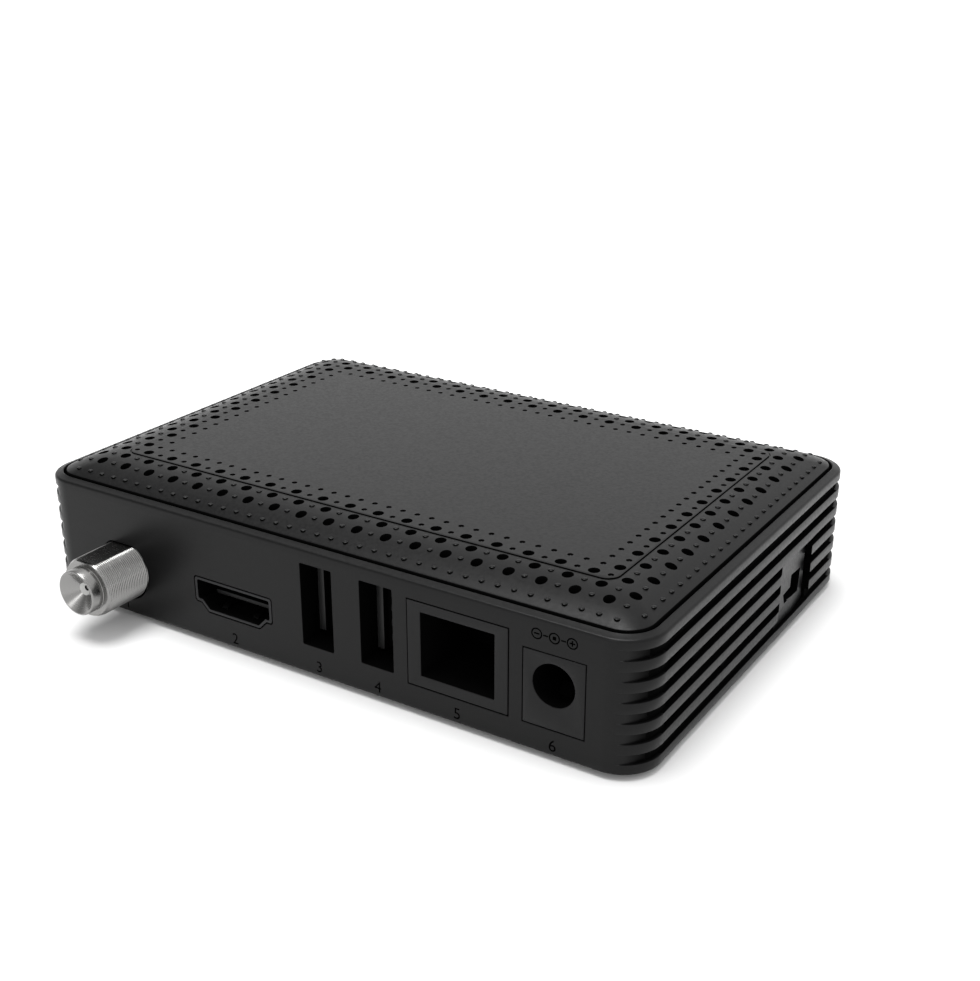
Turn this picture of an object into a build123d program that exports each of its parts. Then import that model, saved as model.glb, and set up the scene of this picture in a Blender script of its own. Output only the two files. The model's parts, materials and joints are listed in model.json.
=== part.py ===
from build123d import *
import os
from math import sqrt

# Satellite television receiver: a small plastic case in two halves, with its circuit board,
# tuner, sockets, display and feet. Lengths are in millimetres.
#
# +Z is up and the wall with the sockets faces +Y. The origin is on the surface that the
# feet stand on, under the middle of the whole outline, aerial connector included.

# ---------------------------------------------------------------- driving dimensions

# Case
case_width = 107.1
case_depth = 74.2
case_corner_radius = 6.0
wall = 2.4
floor_thickness = 1.8
rim_height = 20.1
rim_thickness = 1.45
rim_chamfer = 0.6
cover_seat_height = 18.3

# Feet, each over the head of a case screw
foot_radius = 4.0
foot_height = 0.9
foot_recess_depth = 0.5
foot_chamfer = 0.4
foot_play = 0.15

# Cover
cover_gap = 0.4
cover_height = 22.4
cover_thickness = 1.8
cover_edge_thickness = 2.9
crown_radius = 14.1
panel_inset = 9.7
panel_corner_radius = 2.0
panel_step = 0.15

# Holes through the cover, in rings round its panel
hole_radius = 0.9
hole_rings = 3
first_ring_inset_x = 10.9
first_ring_inset_y = 11.1
least_hole_pitch = 2.5

# Grooves in both end walls, counted from the bottom, and the vents in some of them
groove_count = 6
groove_height = 1.4
groove_depth = 0.65
groove_pitch = 3.03
first_groove_height = 1.6
groove_floor_radius = 7.0
groove_overrun = 0.7
first_vented_groove = 1
last_vented_groove = 4
vent_length = 8.0
vent_pitch = 10.15
vents_in_groove = 6

# Sloped pad and socket opening in one end wall, measured from the socket wall
pad_start = 45.0
pad_end = 58.7
pad_bottom = 4.4
pad_top = 12.1
pad_depth = 1.1
grooves_stop = 45.9
side_socket_centre = 51.4
side_socket_width = 7.0
side_socket_bottom = 4.75
side_socket_height = 3.65
side_socket_step = 2.8

# Rounds that repeat have few sides, so that the whole stays light
small_round_sides = 6
large_round_sides = 12

# Screws
post_inset = 5.9
post_radius = 2.2
case_screw_radius = 1.3
case_screw_length = 9.0
case_screw_head_radius = 2.1
case_screw_head_height = 1.3
boss_height = 3.6
screw_play = 0.05
screw_hole_play = 0.2
board_screw_radius = 1.0
board_screw_length = 3.0
board_screw_head_radius = 1.9
board_screw_head_height = 1.2
board_screw_inset = 10.5
board_screw_rows = (39.5, 61.5)
standoff_radius = 2.5

# Circuit board: the sockets stand on its upper face, so that is the height that is set
board_top = 3.9
board_thickness = 1.6
board_inset = 3.0
board_notch_play = 0.4

# Sockets: distance of each centre from the middle of the socket wall, seen from outside
aerial_place = -36.25
hdmi_place = -14.0
usb_places = (1.95, 12.4)
lan_place = 25.7
power_place = 40.6
socket_play = 0.12

# Aerial connector, lengths measured outwards from the socket wall
aerial_axis_height = 7.35
aerial_thread_radius = 4.7625
aerial_thread_start = 0.4
aerial_thread_end = 6.6
aerial_neck_radius = 4.2
aerial_collar_radius = 4.5
aerial_collar_end = 7.9
aerial_nozzle_radius = 3.6
aerial_reach = 10.0
aerial_funnel_radius = 3.0
aerial_funnel_floor = 8.0
aerial_flat_height = 4.2
aerial_hole_play = 0.25
aerial_flange = 10.4
aerial_flange_thickness = 1.5
insulator_radius = 1.7
insulator_tail = 1.2
contact_radius = 0.6
contact_mouth = 7.0
contact_tail = 5.0

# HDMI-size socket
hdmi_height = 7.4
hdmi_mouth_width = 13.85
hdmi_mouth_height = 4.45
hdmi_floor_width = 10.1
hdmi_side_height = 3.0
hdmi_sheet = 0.4
hdmi_play = 0.15
hdmi_length = 11.0
hdmi_tongue_width = 10.2
hdmi_tongue_thickness = 0.8
hdmi_tongue_drop = 0.2
hdmi_tongue_recess = 2.2
hdmi_root = 3.0

# USB-A-size sockets, standing on edge
usb_mouth_width = 5.6
usb_mouth_height = 12.9
usb_mouth_bottom = 4.6
usb_sheet = 0.3
usb_length = 13.0
usb_tongue_thickness = 1.84
usb_tongue_width = 11.1
usb_tongue_side_gap = 0.75
usb_tongue_recess = 3.0
usb_root = 4.0
usb_contact_width = 1.0
usb_contact_pitch = 2.3
usb_contacts = 4

# LAN jack
lan_width = 16.0
lan_height = 12.95
lan_length = 15.5
lan_mouth_width = 11.85
lan_mouth_height = 9.85
lan_mouth_bottom = 1.65
lan_mouth_depth = 12.5
lan_contacts = 8
lan_contact_pitch = 1.02
lan_contact_thickness = 0.4
lan_contact_start = 2.5
lan_contact_drop = 2.8

# Power jack
power_width = 9.2
power_height = 11.0
power_length = 14.0
power_hole_radius = 3.15
power_hole_height = 6.6
power_hole_depth = 9.5
power_pin_radius = 1.0
power_pin_recess = 1.2
power_leaf_width = 2.0
power_leaf_thickness = 0.4
power_leaf_rise = 1.0

# Side socket
side_housing_width = 9.0
side_housing_height = 6.2
side_bore_radius = 1.75
side_bore_height = 6.6
side_bore_depth = 8.0
side_contact_size = 0.6

# Pieces on the board: places are measured from the case's middle and from the socket wall
contact_strip = 0.2
processor_size = 23.0
processor_height = 1.6
processor_place = (2.0, 39.1)
pad_thickness = 0.5
sink_size = 30.0
sink_base = 1.6
sink_height = 7.0
sink_fins = 8
sink_fin_thickness = 1.2
memory_size = (9.0, 13.4)
memory_height = 1.2
memory_places = ((-24.0, 36.1), (-24.0, 51.1))
flash_size = (8.0, 5.2)
flash_height = 1.8
flash_place = (6.0, 59.7)
regulator_size = (6.6, 6.2)
regulator_height = 2.3
regulator_place = (-37.0, 65.1)
transformer_size = (13.0, 9.6)
transformer_height = 6.0
transformer_place = (-26.0, 23.1)
capacitor_radius = 4.0
capacitor_height = 11.5
capacitor_places = ((-40.0, 20.6), (-40.0, 30.1))
inductor_size = 7.0
inductor_height = 4.0
inductor_corner = 1.6
inductor_places = ((-36.0, 45.1), (-36.0, 55.1))
crystal_length = 11.0
crystal_width = 4.6
crystal_height = 3.5
crystal_place = (22.0, 57.1)

# Tuner can, display and front window
tuner_width = 18.0
tuner_length = 30.0
tuner_height = 9.2
tuner_place = 33.4
tuner_sheet = 0.4
tuner_cover_skirt = 2.0
front_window_width = 64.0
front_window_height = 11.0
front_window_bottom = 5.6
front_window_flange = 1.5
front_window_flange_thickness = 1.0
front_window_play = 0.15
front_window_corner = 1.0
display_board_width = 60.0
display_board_height = 13.2
display_board_thickness = 1.2
display_block_width = 30.0
display_block_height = 10.6
display_block_depth = 6.0
receiver_place = 24.0
receiver_width = 6.0
receiver_height = 7.0
receiver_depth = 3.2
receiver_lens_radius = 2.2
lamp_place = -24.0
lamp_width = 2.0
lamp_height = 5.0
lamp_length = 5.4

# ---------------------------------------------------------------- shared places

case_centre_y = -aerial_reach / 2
rear_y = case_centre_y + case_depth / 2
front_y = case_centre_y - case_depth / 2
end_x = case_width / 2
board_underside = board_top - board_thickness
cover_inset = rim_thickness + cover_gap
boss_radius = post_inset - wall


def level(height):
    """Horizontal plane at a height above the case's underside, centred on the case."""
    return Plane(origin=(0, case_centre_y, foot_height + height))


def rear_wall(depth=0.0):
    """Plane facing out of the socket wall: x runs right as seen from outside, y is height."""
    return Plane(origin=(0, rear_y - depth, foot_height), x_dir=(-1, 0, 0), z_dir=(0, 1, 0))


def front_wall(depth=0.0):
    """Plane facing out of the front wall: x runs right as seen from outside, y is height."""
    return Plane(origin=(0, front_y + depth, foot_height), x_dir=(1, 0, 0), z_dir=(0, -1, 0))


def socket_end(depth=0.0):
    """Plane facing out of the end wall with the pad: x runs from the socket wall forwards."""
    return Plane(origin=(-end_x + depth, rear_y, foot_height), x_dir=(0, -1, 0), z_dir=(-1, 0, 0))


def small_round(radius):
    """A small round with few sides, for the sketch that is being drawn."""
    RegularPolygon(radius, small_round_sides)


def corner_points(inset):
    """The four points that lie this far in from both walls of each corner, about the case's centre."""
    x = case_width / 2 - inset
    y = case_depth / 2 - inset
    return [(x, y), (-x, y), (-x, -y), (x, -y)]


def board_screw_points():
    """The four board screws, about the case's centre."""
    x = case_width / 2 - board_screw_inset
    return [(side * x, case_depth / 2 - row) for row in board_screw_rows for side in (-1, 1)]


def on_board(*places):
    """Places from the case's middle and the socket wall, about the case's centre."""
    return [(x, case_depth / 2 - back) for x, back in places]


def ring_holes():
    """Every second lattice point on each ring of the cover, corners left out."""
    width = case_width - 2 * first_ring_inset_x
    depth = case_depth - 2 * first_ring_inset_y
    columns = 2 * int(width / (2 * least_hole_pitch))
    rows = 2 * int(depth / (2 * least_hole_pitch))
    points = []
    for column in range(-hole_rings + 1, columns + hole_rings):
        for row in range(-hole_rings + 1, rows + hole_rings):
            outside = max(-column, column - columns, -row, row - rows)
            if outside >= 0 and (column + row) % 2 == 1:
                x = (column / columns - 0.5) * width
                y = (row / rows - 0.5) * depth
                points.append((x, y))
    return points


def crown_insets():
    """Where the crown's flat strips meet: each ring of holes lies inside one strip."""
    inner = [panel_inset - ring * least_hole_pitch for ring in range(hole_rings)]
    return [cover_inset, (cover_inset + inner[-1]) / 2] + inner[::-1]


def crown_outline(inset):
    """Level outline of the crown at a distance in from the case's edge, at its own height."""
    drop = crown_radius - sqrt(crown_radius**2 - (panel_inset - inset) ** 2)
    share = (panel_inset - inset) / (panel_inset - cover_inset)
    edge_corner = case_corner_radius - cover_inset
    corner = panel_corner_radius + (edge_corner - panel_corner_radius) * share
    with BuildSketch(level(cover_height - panel_step - drop)) as outline:
        RectangleRounded(case_width - 2 * inset, case_depth - 2 * inset, corner)
    return outline.sketch


os.makedirs("parts", exist_ok=True)

# ---------------------------------------------------------------- lower housing

with BuildSketch() as aerial_hole:
    Circle(aerial_thread_radius + aerial_hole_play)
    with Locations((0, aerial_flat_height + aerial_hole_play + aerial_thread_radius)):
        Rectangle(4 * aerial_thread_radius, 2 * aerial_thread_radius, mode=Mode.SUBTRACT)


def hdmi_outline(growth):
    """Outline of the HDMI-size socket, grown outwards from its mouth."""
    half = hdmi_mouth_width / 2
    half_floor = hdmi_floor_width / 2
    top = hdmi_mouth_height / 2
    shoulder = top - hdmi_side_height
    with BuildSketch() as outline:
        with BuildLine():
            Polyline(
                (-half, top),
                (half, top),
                (half, shoulder),
                (half_floor, -top),
                (-half_floor, -top),
                (-half, shoulder),
                close=True,
            )
        make_face()
        if growth > 0:
            offset(amount=growth, kind=Kind.INTERSECTION)
    return outline.sketch


with BuildPart() as lower_housing:
    with BuildSketch(level(0)):
        RectangleRounded(case_width, case_depth, case_corner_radius)
    extrude(amount=rim_height)
    chamfer(lower_housing.faces().sort_by(Axis.Z)[-1].edges(), length=rim_chamfer)

    # Room for the board, then the wider seat that the cover drops into.
    with BuildSketch(level(floor_thickness)):
        RectangleRounded(case_width - 2 * wall, case_depth - 2 * wall, case_corner_radius - wall)
    extrude(amount=rim_height, mode=Mode.SUBTRACT)
    with BuildSketch(level(cover_seat_height)):
        RectangleRounded(
            case_width - 2 * rim_thickness,
            case_depth - 2 * rim_thickness,
            case_corner_radius - rim_thickness,
        )
    extrude(amount=rim_height, mode=Mode.SUBTRACT)

    # Grooves: the floor of each is a wider-cornered outline that runs out on the case's corners.
    for groove in range(groove_count):
        bottom = first_groove_height + groove * groove_pitch
        crosses_pad = pad_bottom <= bottom + groove_height / 2 <= pad_top
        with BuildSketch(level(bottom)):
            Rectangle(case_width + 2 * wall, case_depth + 2 * wall)
            RectangleRounded(
                case_width - 2 * groove_depth,
                case_depth + 2 * groove_overrun,
                groove_floor_radius,
                mode=Mode.SUBTRACT,
            )
            if crosses_pad:
                pad_middle = case_depth / 2 - (grooves_stop + pad_end) / 2
                with Locations((-end_x, pad_middle)):
                    Rectangle(4 * wall, pad_end - grooves_stop, mode=Mode.SUBTRACT)
        extrude(amount=groove_height, mode=Mode.SUBTRACT)

        if first_vented_groove <= groove <= last_vented_groove:
            for side in (-1, 1):
                for vent in range(vents_in_groove):
                    y = (vent - (vents_in_groove - 1) / 2) * vent_pitch
                    from_rear = case_depth / 2 - y
                    if side < 0 and crosses_pad and grooves_stop < from_rear < pad_end:
                        continue
                    with BuildSketch(level(bottom)):
                        with Locations((side * (end_x - wall / 2), y)):
                            Rectangle(2 * wall, vent_length)
                    extrude(amount=groove_height, mode=Mode.SUBTRACT)

    # Pad: a slope that sinks towards the front and ends in a step, open to the lowest groove.
    with BuildSketch(level(pad_bottom)):
        with BuildLine():
            Polyline(
                (-end_x, case_depth / 2 - pad_start),
                (-end_x + pad_depth, case_depth / 2 - pad_end),
                (-end_x - pad_depth, case_depth / 2 - pad_end),
                (-end_x - pad_depth, case_depth / 2 - pad_start),
                close=True,
            )
        make_face()
    extrude(amount=pad_top - pad_bottom, mode=Mode.SUBTRACT)
    with BuildSketch(socket_end()):
        with Locations((grooves_stop, first_groove_height)):
            Rectangle(
                pad_end - grooves_stop,
                pad_bottom - first_groove_height,
                align=(Align.MIN, Align.MIN),
            )
    extrude(amount=-groove_depth, mode=Mode.SUBTRACT)

    # Opening for the side socket, with one corner cut low.
    with BuildSketch(socket_end()):
        with Locations((side_socket_centre, side_socket_bottom)):
            Rectangle(side_socket_width, side_socket_height, align=(Align.CENTER, Align.MIN))
        with Locations(
            (
                side_socket_centre - side_socket_width / 2,
                side_socket_bottom + side_socket_height,
            )
        ):
            Rectangle(
                2 * side_socket_step,
                side_socket_height - side_socket_step / 2,
                align=(Align.CENTER, Align.CENTER),
                mode=Mode.SUBTRACT,
            )
    extrude(amount=-2 * wall, mode=Mode.SUBTRACT)

    # Openings in the socket wall.
    with BuildSketch(rear_wall()):
        with Locations((aerial_place, aerial_axis_height)):
            add(aerial_hole.sketch)
        with Locations((hdmi_place, hdmi_height)):
            add(hdmi_outline(hdmi_sheet + hdmi_play))
        for place in usb_places:
            with Locations((place, usb_mouth_bottom)):
                Rectangle(usb_mouth_width, usb_mouth_height, align=(Align.CENTER, Align.MIN))
        with Locations((lan_place, board_top - socket_play)):
            Rectangle(
                lan_width + 2 * socket_play,
                lan_height + 2 * socket_play,
                align=(Align.CENTER, Align.MIN),
            )
        with Locations((power_place, board_top - socket_play)):
            Rectangle(
                power_width + 2 * socket_play,
                power_height + 2 * socket_play,
                align=(Align.CENTER, Align.MIN),
            )
    extrude(amount=-2 * wall, mode=Mode.SUBTRACT)

    # Opening for the front window.
    with BuildSketch(front_wall()):
        with Locations((0, front_window_bottom - front_window_play)):
            RectangleRounded(
                front_window_width + 2 * front_window_play,
                front_window_height + 2 * front_window_play,
                front_window_corner + front_window_play,
                align=(Align.CENTER, Align.MIN),
            )
    extrude(amount=-2 * wall, mode=Mode.SUBTRACT)

    # Corner bosses for the case screws, standoffs for the board, recesses for the feet.
    with BuildSketch(level(floor_thickness)):
        with Locations(*corner_points(post_inset)):
            small_round(boss_radius)
    extrude(amount=boss_height - floor_thickness)
    with BuildSketch(level(floor_thickness)):
        with Locations(*board_screw_points()):
            small_round(standoff_radius)
    extrude(amount=board_underside - floor_thickness)
    with BuildSketch(level(0)):
        with Locations(*corner_points(post_inset)):
            RegularPolygon(foot_radius + foot_play, large_round_sides)
    extrude(amount=foot_recess_depth, mode=Mode.SUBTRACT)
    with BuildSketch(level(foot_recess_depth)):
        with Locations(*corner_points(post_inset)):
            small_round(case_screw_head_radius + screw_hole_play)
    extrude(amount=case_screw_head_height, mode=Mode.SUBTRACT)
    with BuildSketch(level(foot_recess_depth)):
        with Locations(*corner_points(post_inset)):
            small_round(case_screw_radius + screw_hole_play)
    extrude(amount=boss_height, mode=Mode.SUBTRACT)
    with BuildSketch(level(board_underside)):
        with Locations(*board_screw_points()):
            small_round(board_screw_radius + screw_play)
    extrude(amount=board_thickness - board_screw_length - screw_play, mode=Mode.SUBTRACT)
lower_housing.part.label = "lower_housing"
export_step(lower_housing.part, "parts/lower_housing.step")

# ---------------------------------------------------------------- top cover

crown_outlines = [crown_outline(inset) for inset in crown_insets()]
crown_foot = crown_outlines[0].center().Z - foot_height

with BuildPart() as top_cover:
    loft(sections=crown_outlines, ruled=True)
    with BuildSketch(level(cover_seat_height)):
        RectangleRounded(
            case_width - 2 * cover_inset,
            case_depth - 2 * cover_inset,
            case_corner_radius - cover_inset,
        )
    extrude(amount=crown_foot - cover_seat_height)
    with BuildSketch(level(cover_seat_height)):
        RectangleRounded(
            case_width - 2 * (cover_inset + cover_edge_thickness),
            case_depth - 2 * (cover_inset + cover_edge_thickness),
            panel_corner_radius,
        )
    extrude(
        amount=cover_height - cover_thickness - cover_seat_height,
        mode=Mode.SUBTRACT,
    )

    # The middle panel stands a little proud of the margin.
    with BuildSketch(level(cover_height - panel_step)):
        RectangleRounded(
            case_width - 2 * panel_inset,
            case_depth - 2 * panel_inset,
            panel_corner_radius,
        )
    extrude(amount=panel_step)

    # Posts that the case screws bite into.
    with BuildSketch(level(boss_height)):
        with Locations(*corner_points(post_inset)):
            small_round(post_radius)
    extrude(amount=cover_seat_height + cover_thickness - boss_height)
    with BuildSketch(level(boss_height)):
        with Locations(*corner_points(post_inset)):
            small_round(case_screw_radius + screw_play)
    extrude(amount=case_screw_length, mode=Mode.SUBTRACT)

    with BuildSketch(level(cover_seat_height)):
        with Locations(*ring_holes()):
            small_round(hole_radius)
    extrude(amount=cover_height, mode=Mode.SUBTRACT)
top_cover.part.label = "top_cover"
export_step(top_cover.part, "parts/top_cover.step")

# ---------------------------------------------------------------- feet and case screws

with BuildPart() as rubber_feet:
    with BuildSketch(level(-foot_height)):
        with Locations(*corner_points(post_inset)):
            RegularPolygon(foot_radius, large_round_sides)
    extrude(amount=foot_height + foot_recess_depth)
    chamfer(rubber_feet.faces().group_by(Axis.Z)[0].edges(), length=foot_chamfer)
rubber_feet.part.label = "rubber_feet"
export_step(rubber_feet.part, "parts/rubber_feet.step")

with BuildPart() as case_screws:
    with BuildSketch(level(foot_recess_depth)):
        with Locations(*corner_points(post_inset)):
            small_round(case_screw_head_radius)
    extrude(amount=case_screw_head_height)
    with BuildSketch(level(foot_recess_depth + case_screw_head_height)):
        with Locations(*corner_points(post_inset)):
            small_round(case_screw_radius)
    extrude(amount=case_screw_length)
case_screws.part.label = "case_screws"
export_step(case_screws.part, "parts/case_screws.step")

# ---------------------------------------------------------------- circuit board

aerial_notch_depth = wall + aerial_flange_thickness - board_inset + tuner_sheet
with BuildPart() as main_board:
    with BuildSketch(level(board_underside)):
        Rectangle(case_width - 2 * board_inset, case_depth - 2 * board_inset)
        with Locations(*corner_points(post_inset)):
            Rectangle(
                2 * (boss_radius + board_notch_play),
                2 * (boss_radius + board_notch_play),
                mode=Mode.SUBTRACT,
            )
        with Locations(*corner_points(board_inset)):
            Rectangle(2 * boss_radius, 2 * boss_radius, mode=Mode.SUBTRACT)
        with Locations((-aerial_place, case_depth / 2 - board_inset)):
            Rectangle(
                aerial_flange + 2 * board_notch_play,
                2 * (aerial_notch_depth + board_notch_play),
                mode=Mode.SUBTRACT,
            )
        with Locations(*board_screw_points()):
            RegularPolygon(
                board_screw_radius + screw_hole_play,
                small_round_sides,
                mode=Mode.SUBTRACT,
            )
    extrude(amount=board_thickness)
main_board.part.label = "main_board"
export_step(main_board.part, "parts/main_board.step")

with BuildPart() as board_screws:
    with BuildSketch(level(board_top)):
        with Locations(*board_screw_points()):
            small_round(board_screw_head_radius)
    extrude(amount=board_screw_head_height)
    with BuildSketch(level(board_top)):
        with Locations(*board_screw_points()):
            small_round(board_screw_radius)
    extrude(amount=-board_screw_length)
board_screws.part.label = "board_screws"
export_step(board_screws.part, "parts/board_screws.step")

# ---------------------------------------------------------------- aerial connector and tuner

aerial_plane = Plane(
    origin=(-aerial_place, rear_y, foot_height + aerial_axis_height),
    x_dir=(1, 0, 0),
    z_dir=(0, 0, 1),
)
aerial_axis = Axis((-aerial_place, rear_y, foot_height + aerial_axis_height), (0, 1, 0))
flange_back = wall + aerial_flange_thickness

with BuildPart() as aerial_body:
    with BuildSketch(aerial_plane):
        with BuildLine():
            Polyline(
                (insulator_radius, -flange_back),
                (aerial_neck_radius, -flange_back),
                (aerial_neck_radius, aerial_thread_start),
                (aerial_thread_radius, aerial_thread_start),
                (aerial_thread_radius, aerial_thread_end),
                (aerial_collar_radius, aerial_thread_end),
                (aerial_collar_radius, aerial_collar_end),
                (aerial_nozzle_radius, aerial_collar_end),
                (aerial_nozzle_radius, aerial_reach),
                (aerial_funnel_radius, aerial_reach),
                (insulator_radius, aerial_funnel_floor),
                close=True,
            )
        make_face()
    revolve(axis=aerial_axis)
    with BuildSketch(rear_wall(wall)):
        with Locations((aerial_place, aerial_axis_height)):
            Rectangle(aerial_flange, aerial_flange)
            Circle(insulator_radius, mode=Mode.SUBTRACT)
    extrude(amount=-aerial_flange_thickness)
    with BuildSketch(rear_wall(-aerial_thread_start)):
        with Locations((aerial_place, aerial_axis_height + aerial_flat_height)):
            Rectangle(
                2 * aerial_thread_radius,
                aerial_thread_radius,
                align=(Align.CENTER, Align.MIN),
            )
    extrude(amount=aerial_thread_end - aerial_thread_start, mode=Mode.SUBTRACT)
aerial_body.part.label = "aerial_body"
export_step(aerial_body.part, "parts/aerial_body.step")

with BuildPart() as aerial_insulator:
    with BuildSketch(rear_wall(-aerial_funnel_floor)):
        with Locations((aerial_place, aerial_axis_height)):
            Circle(insulator_radius)
            RegularPolygon(contact_radius, small_round_sides, mode=Mode.SUBTRACT)
    extrude(amount=-(aerial_funnel_floor + flange_back + insulator_tail))
aerial_insulator.part.label = "aerial_insulator"
export_step(aerial_insulator.part, "parts/aerial_insulator.step")

with BuildPart() as aerial_contact:
    with BuildSketch(rear_wall(-contact_mouth)):
        with Locations((aerial_place, aerial_axis_height)):
            small_round(contact_radius)
    extrude(amount=-(contact_mouth + flange_back + contact_tail))
aerial_contact.part.label = "aerial_contact"
export_step(aerial_contact.part, "parts/aerial_contact.step")

tuner_middle_y = case_depth / 2 - flange_back - tuner_length / 2
with BuildPart() as tuner_frame:
    with BuildSketch(level(board_top)):
        with Locations((tuner_place, tuner_middle_y)):
            Rectangle(tuner_width, tuner_length)
            Rectangle(
                tuner_width - 2 * tuner_sheet,
                tuner_length - 2 * tuner_sheet,
                mode=Mode.SUBTRACT,
            )
            Rectangle(tuner_width - tuner_sheet, tuner_sheet)
    extrude(amount=tuner_height)
    with BuildSketch(rear_wall(flange_back)):
        with Locations((aerial_place, aerial_axis_height)):
            RegularPolygon(insulator_radius, small_round_sides, major_radius=False)
    extrude(amount=-2 * tuner_sheet, mode=Mode.SUBTRACT)
tuner_frame.part.label = "tuner_frame"
export_step(tuner_frame.part, "parts/tuner_frame.step")

with BuildPart() as tuner_cover:
    with BuildSketch(level(board_top + tuner_height - tuner_cover_skirt)):
        with Locations((tuner_place, tuner_middle_y - tuner_sheet / 2)):
            Rectangle(tuner_width + 2 * tuner_sheet, tuner_length + tuner_sheet)
    extrude(amount=tuner_cover_skirt + tuner_sheet)
    with BuildSketch(level(board_top + tuner_height - tuner_cover_skirt)):
        with Locations((tuner_place, tuner_middle_y + tuner_sheet / 2)):
            Rectangle(tuner_width, tuner_length + tuner_sheet)
    extrude(amount=tuner_cover_skirt, mode=Mode.SUBTRACT)
tuner_cover.part.label = "tuner_cover"
export_step(tuner_cover.part, "parts/tuner_cover.step")

# ---------------------------------------------------------------- HDMI-size socket

with BuildPart() as hdmi_shell:
    with BuildSketch(rear_wall()):
        with Locations((hdmi_place, hdmi_height)):
            add(hdmi_outline(hdmi_sheet))
    extrude(amount=-hdmi_length)
    with BuildSketch(rear_wall()):
        with Locations((hdmi_place, hdmi_height)):
            add(hdmi_outline(0))
    extrude(amount=hdmi_sheet - hdmi_length, mode=Mode.SUBTRACT)
    # Four tabs that stand on the board.
    with BuildSketch(level(board_top)):
        with Locations((-hdmi_place, case_depth / 2 - (wall + hdmi_length) / 2)):
            with GridLocations(hdmi_floor_width - hdmi_sheet, hdmi_length / 2, 2, 2):
                Rectangle(hdmi_sheet, hdmi_length / 6)
    extrude(amount=hdmi_height - hdmi_mouth_height / 2 - board_top)
hdmi_shell.part.label = "hdmi_shell"
export_step(hdmi_shell.part, "parts/hdmi_shell.step")

hdmi_tongue_height = hdmi_height - hdmi_tongue_drop
with BuildPart() as hdmi_tongue:
    with BuildSketch(rear_wall(hdmi_length - hdmi_sheet)):
        with Locations((hdmi_place, hdmi_height)):
            add(hdmi_outline(0))
    extrude(amount=hdmi_root)
    with BuildSketch(rear_wall(hdmi_tongue_recess)):
        with Locations((hdmi_place, hdmi_tongue_height)):
            Rectangle(hdmi_tongue_width, hdmi_tongue_thickness)
    extrude(amount=hdmi_tongue_recess - (hdmi_length - hdmi_sheet))
    chamfer(
        hdmi_tongue.faces().sort_by(Axis.Y)[-1].edges(),
        length=hdmi_tongue_thickness / 5,
    )
hdmi_tongue.part.label = "hdmi_tongue"
export_step(hdmi_tongue.part, "parts/hdmi_tongue.step")

hdmi_contact_length = hdmi_length - hdmi_sheet - hdmi_root - hdmi_tongue_recess - 1
with BuildPart() as hdmi_contacts:
    for count, side in ((10, 1), (9, -1)):
        start = hdmi_tongue_height + side * (hdmi_tongue_thickness + contact_strip) / 2
        with BuildSketch(rear_wall(hdmi_tongue_recess + 1)):
            with Locations((hdmi_place, start)):
                with GridLocations(1.0, 1.0, count, 1):
                    Rectangle(0.3, contact_strip)
        extrude(amount=-hdmi_contact_length)
hdmi_contacts.part.label = "hdmi_contacts"
export_step(hdmi_contacts.part, "parts/hdmi_contacts.step")

# ---------------------------------------------------------------- USB-A-size sockets

usb_middle = usb_mouth_bottom + usb_mouth_height / 2
for number, place in enumerate(usb_places, start=1):
    tongue_x = place - usb_mouth_width / 2 + usb_tongue_side_gap + usb_tongue_thickness / 2
    with BuildPart() as usb_shell:
        with BuildSketch(rear_wall(wall)):
            with Locations((place, usb_middle)):
                Rectangle(usb_mouth_width + 2 * usb_sheet, usb_mouth_height + 2 * usb_sheet)
        extrude(amount=-usb_length)
        with BuildSketch(rear_wall(wall)):
            with Locations((place, usb_middle)):
                Rectangle(usb_mouth_width, usb_mouth_height)
        extrude(amount=usb_sheet - usb_length, mode=Mode.SUBTRACT)
        # Four tabs that stand on the board.
        with BuildSketch(level(board_top)):
            with Locations((-place, case_depth / 2 - wall - usb_length / 2)):
                with GridLocations(usb_mouth_width + usb_sheet, usb_length / 2, 2, 2):
                    Rectangle(usb_sheet, usb_length / 6)
        extrude(amount=usb_mouth_bottom - board_top)
    usb_shell.part.label = f"usb{number}_shell"
    export_step(usb_shell.part, f"parts/usb{number}_shell.step")

    with BuildPart() as usb_tongue:
        with BuildSketch(rear_wall(wall + usb_length - usb_sheet)):
            with Locations((place, usb_middle)):
                Rectangle(usb_mouth_width, usb_mouth_height)
        extrude(amount=usb_root)
        with BuildSketch(rear_wall(usb_tongue_recess)):
            with Locations((tongue_x, usb_middle)):
                Rectangle(usb_tongue_thickness, usb_tongue_width)
        extrude(amount=usb_tongue_recess - (wall + usb_length - usb_sheet))
        chamfer(
            usb_tongue.faces().sort_by(Axis.Y)[-1].edges().filter_by(Axis.Z),
            length=usb_tongue_thickness / 5,
        )
    usb_tongue.part.label = f"usb{number}_tongue"
    export_step(usb_tongue.part, f"parts/usb{number}_tongue.step")

    with BuildPart() as usb_contact_set:
        with BuildSketch(rear_wall(usb_tongue_recess + 1)):
            with Locations((tongue_x + (usb_tongue_thickness + contact_strip) / 2, usb_middle)):
                with GridLocations(1.0, usb_contact_pitch, 1, usb_contacts):
                    Rectangle(contact_strip, usb_contact_width)
        extrude(amount=usb_tongue_recess + 1 + usb_root + usb_sheet - wall - usb_length)
    usb_contact_set.part.label = f"usb{number}_contacts"
    export_step(usb_contact_set.part, f"parts/usb{number}_contacts.step")

# ---------------------------------------------------------------- LAN jack

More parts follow.
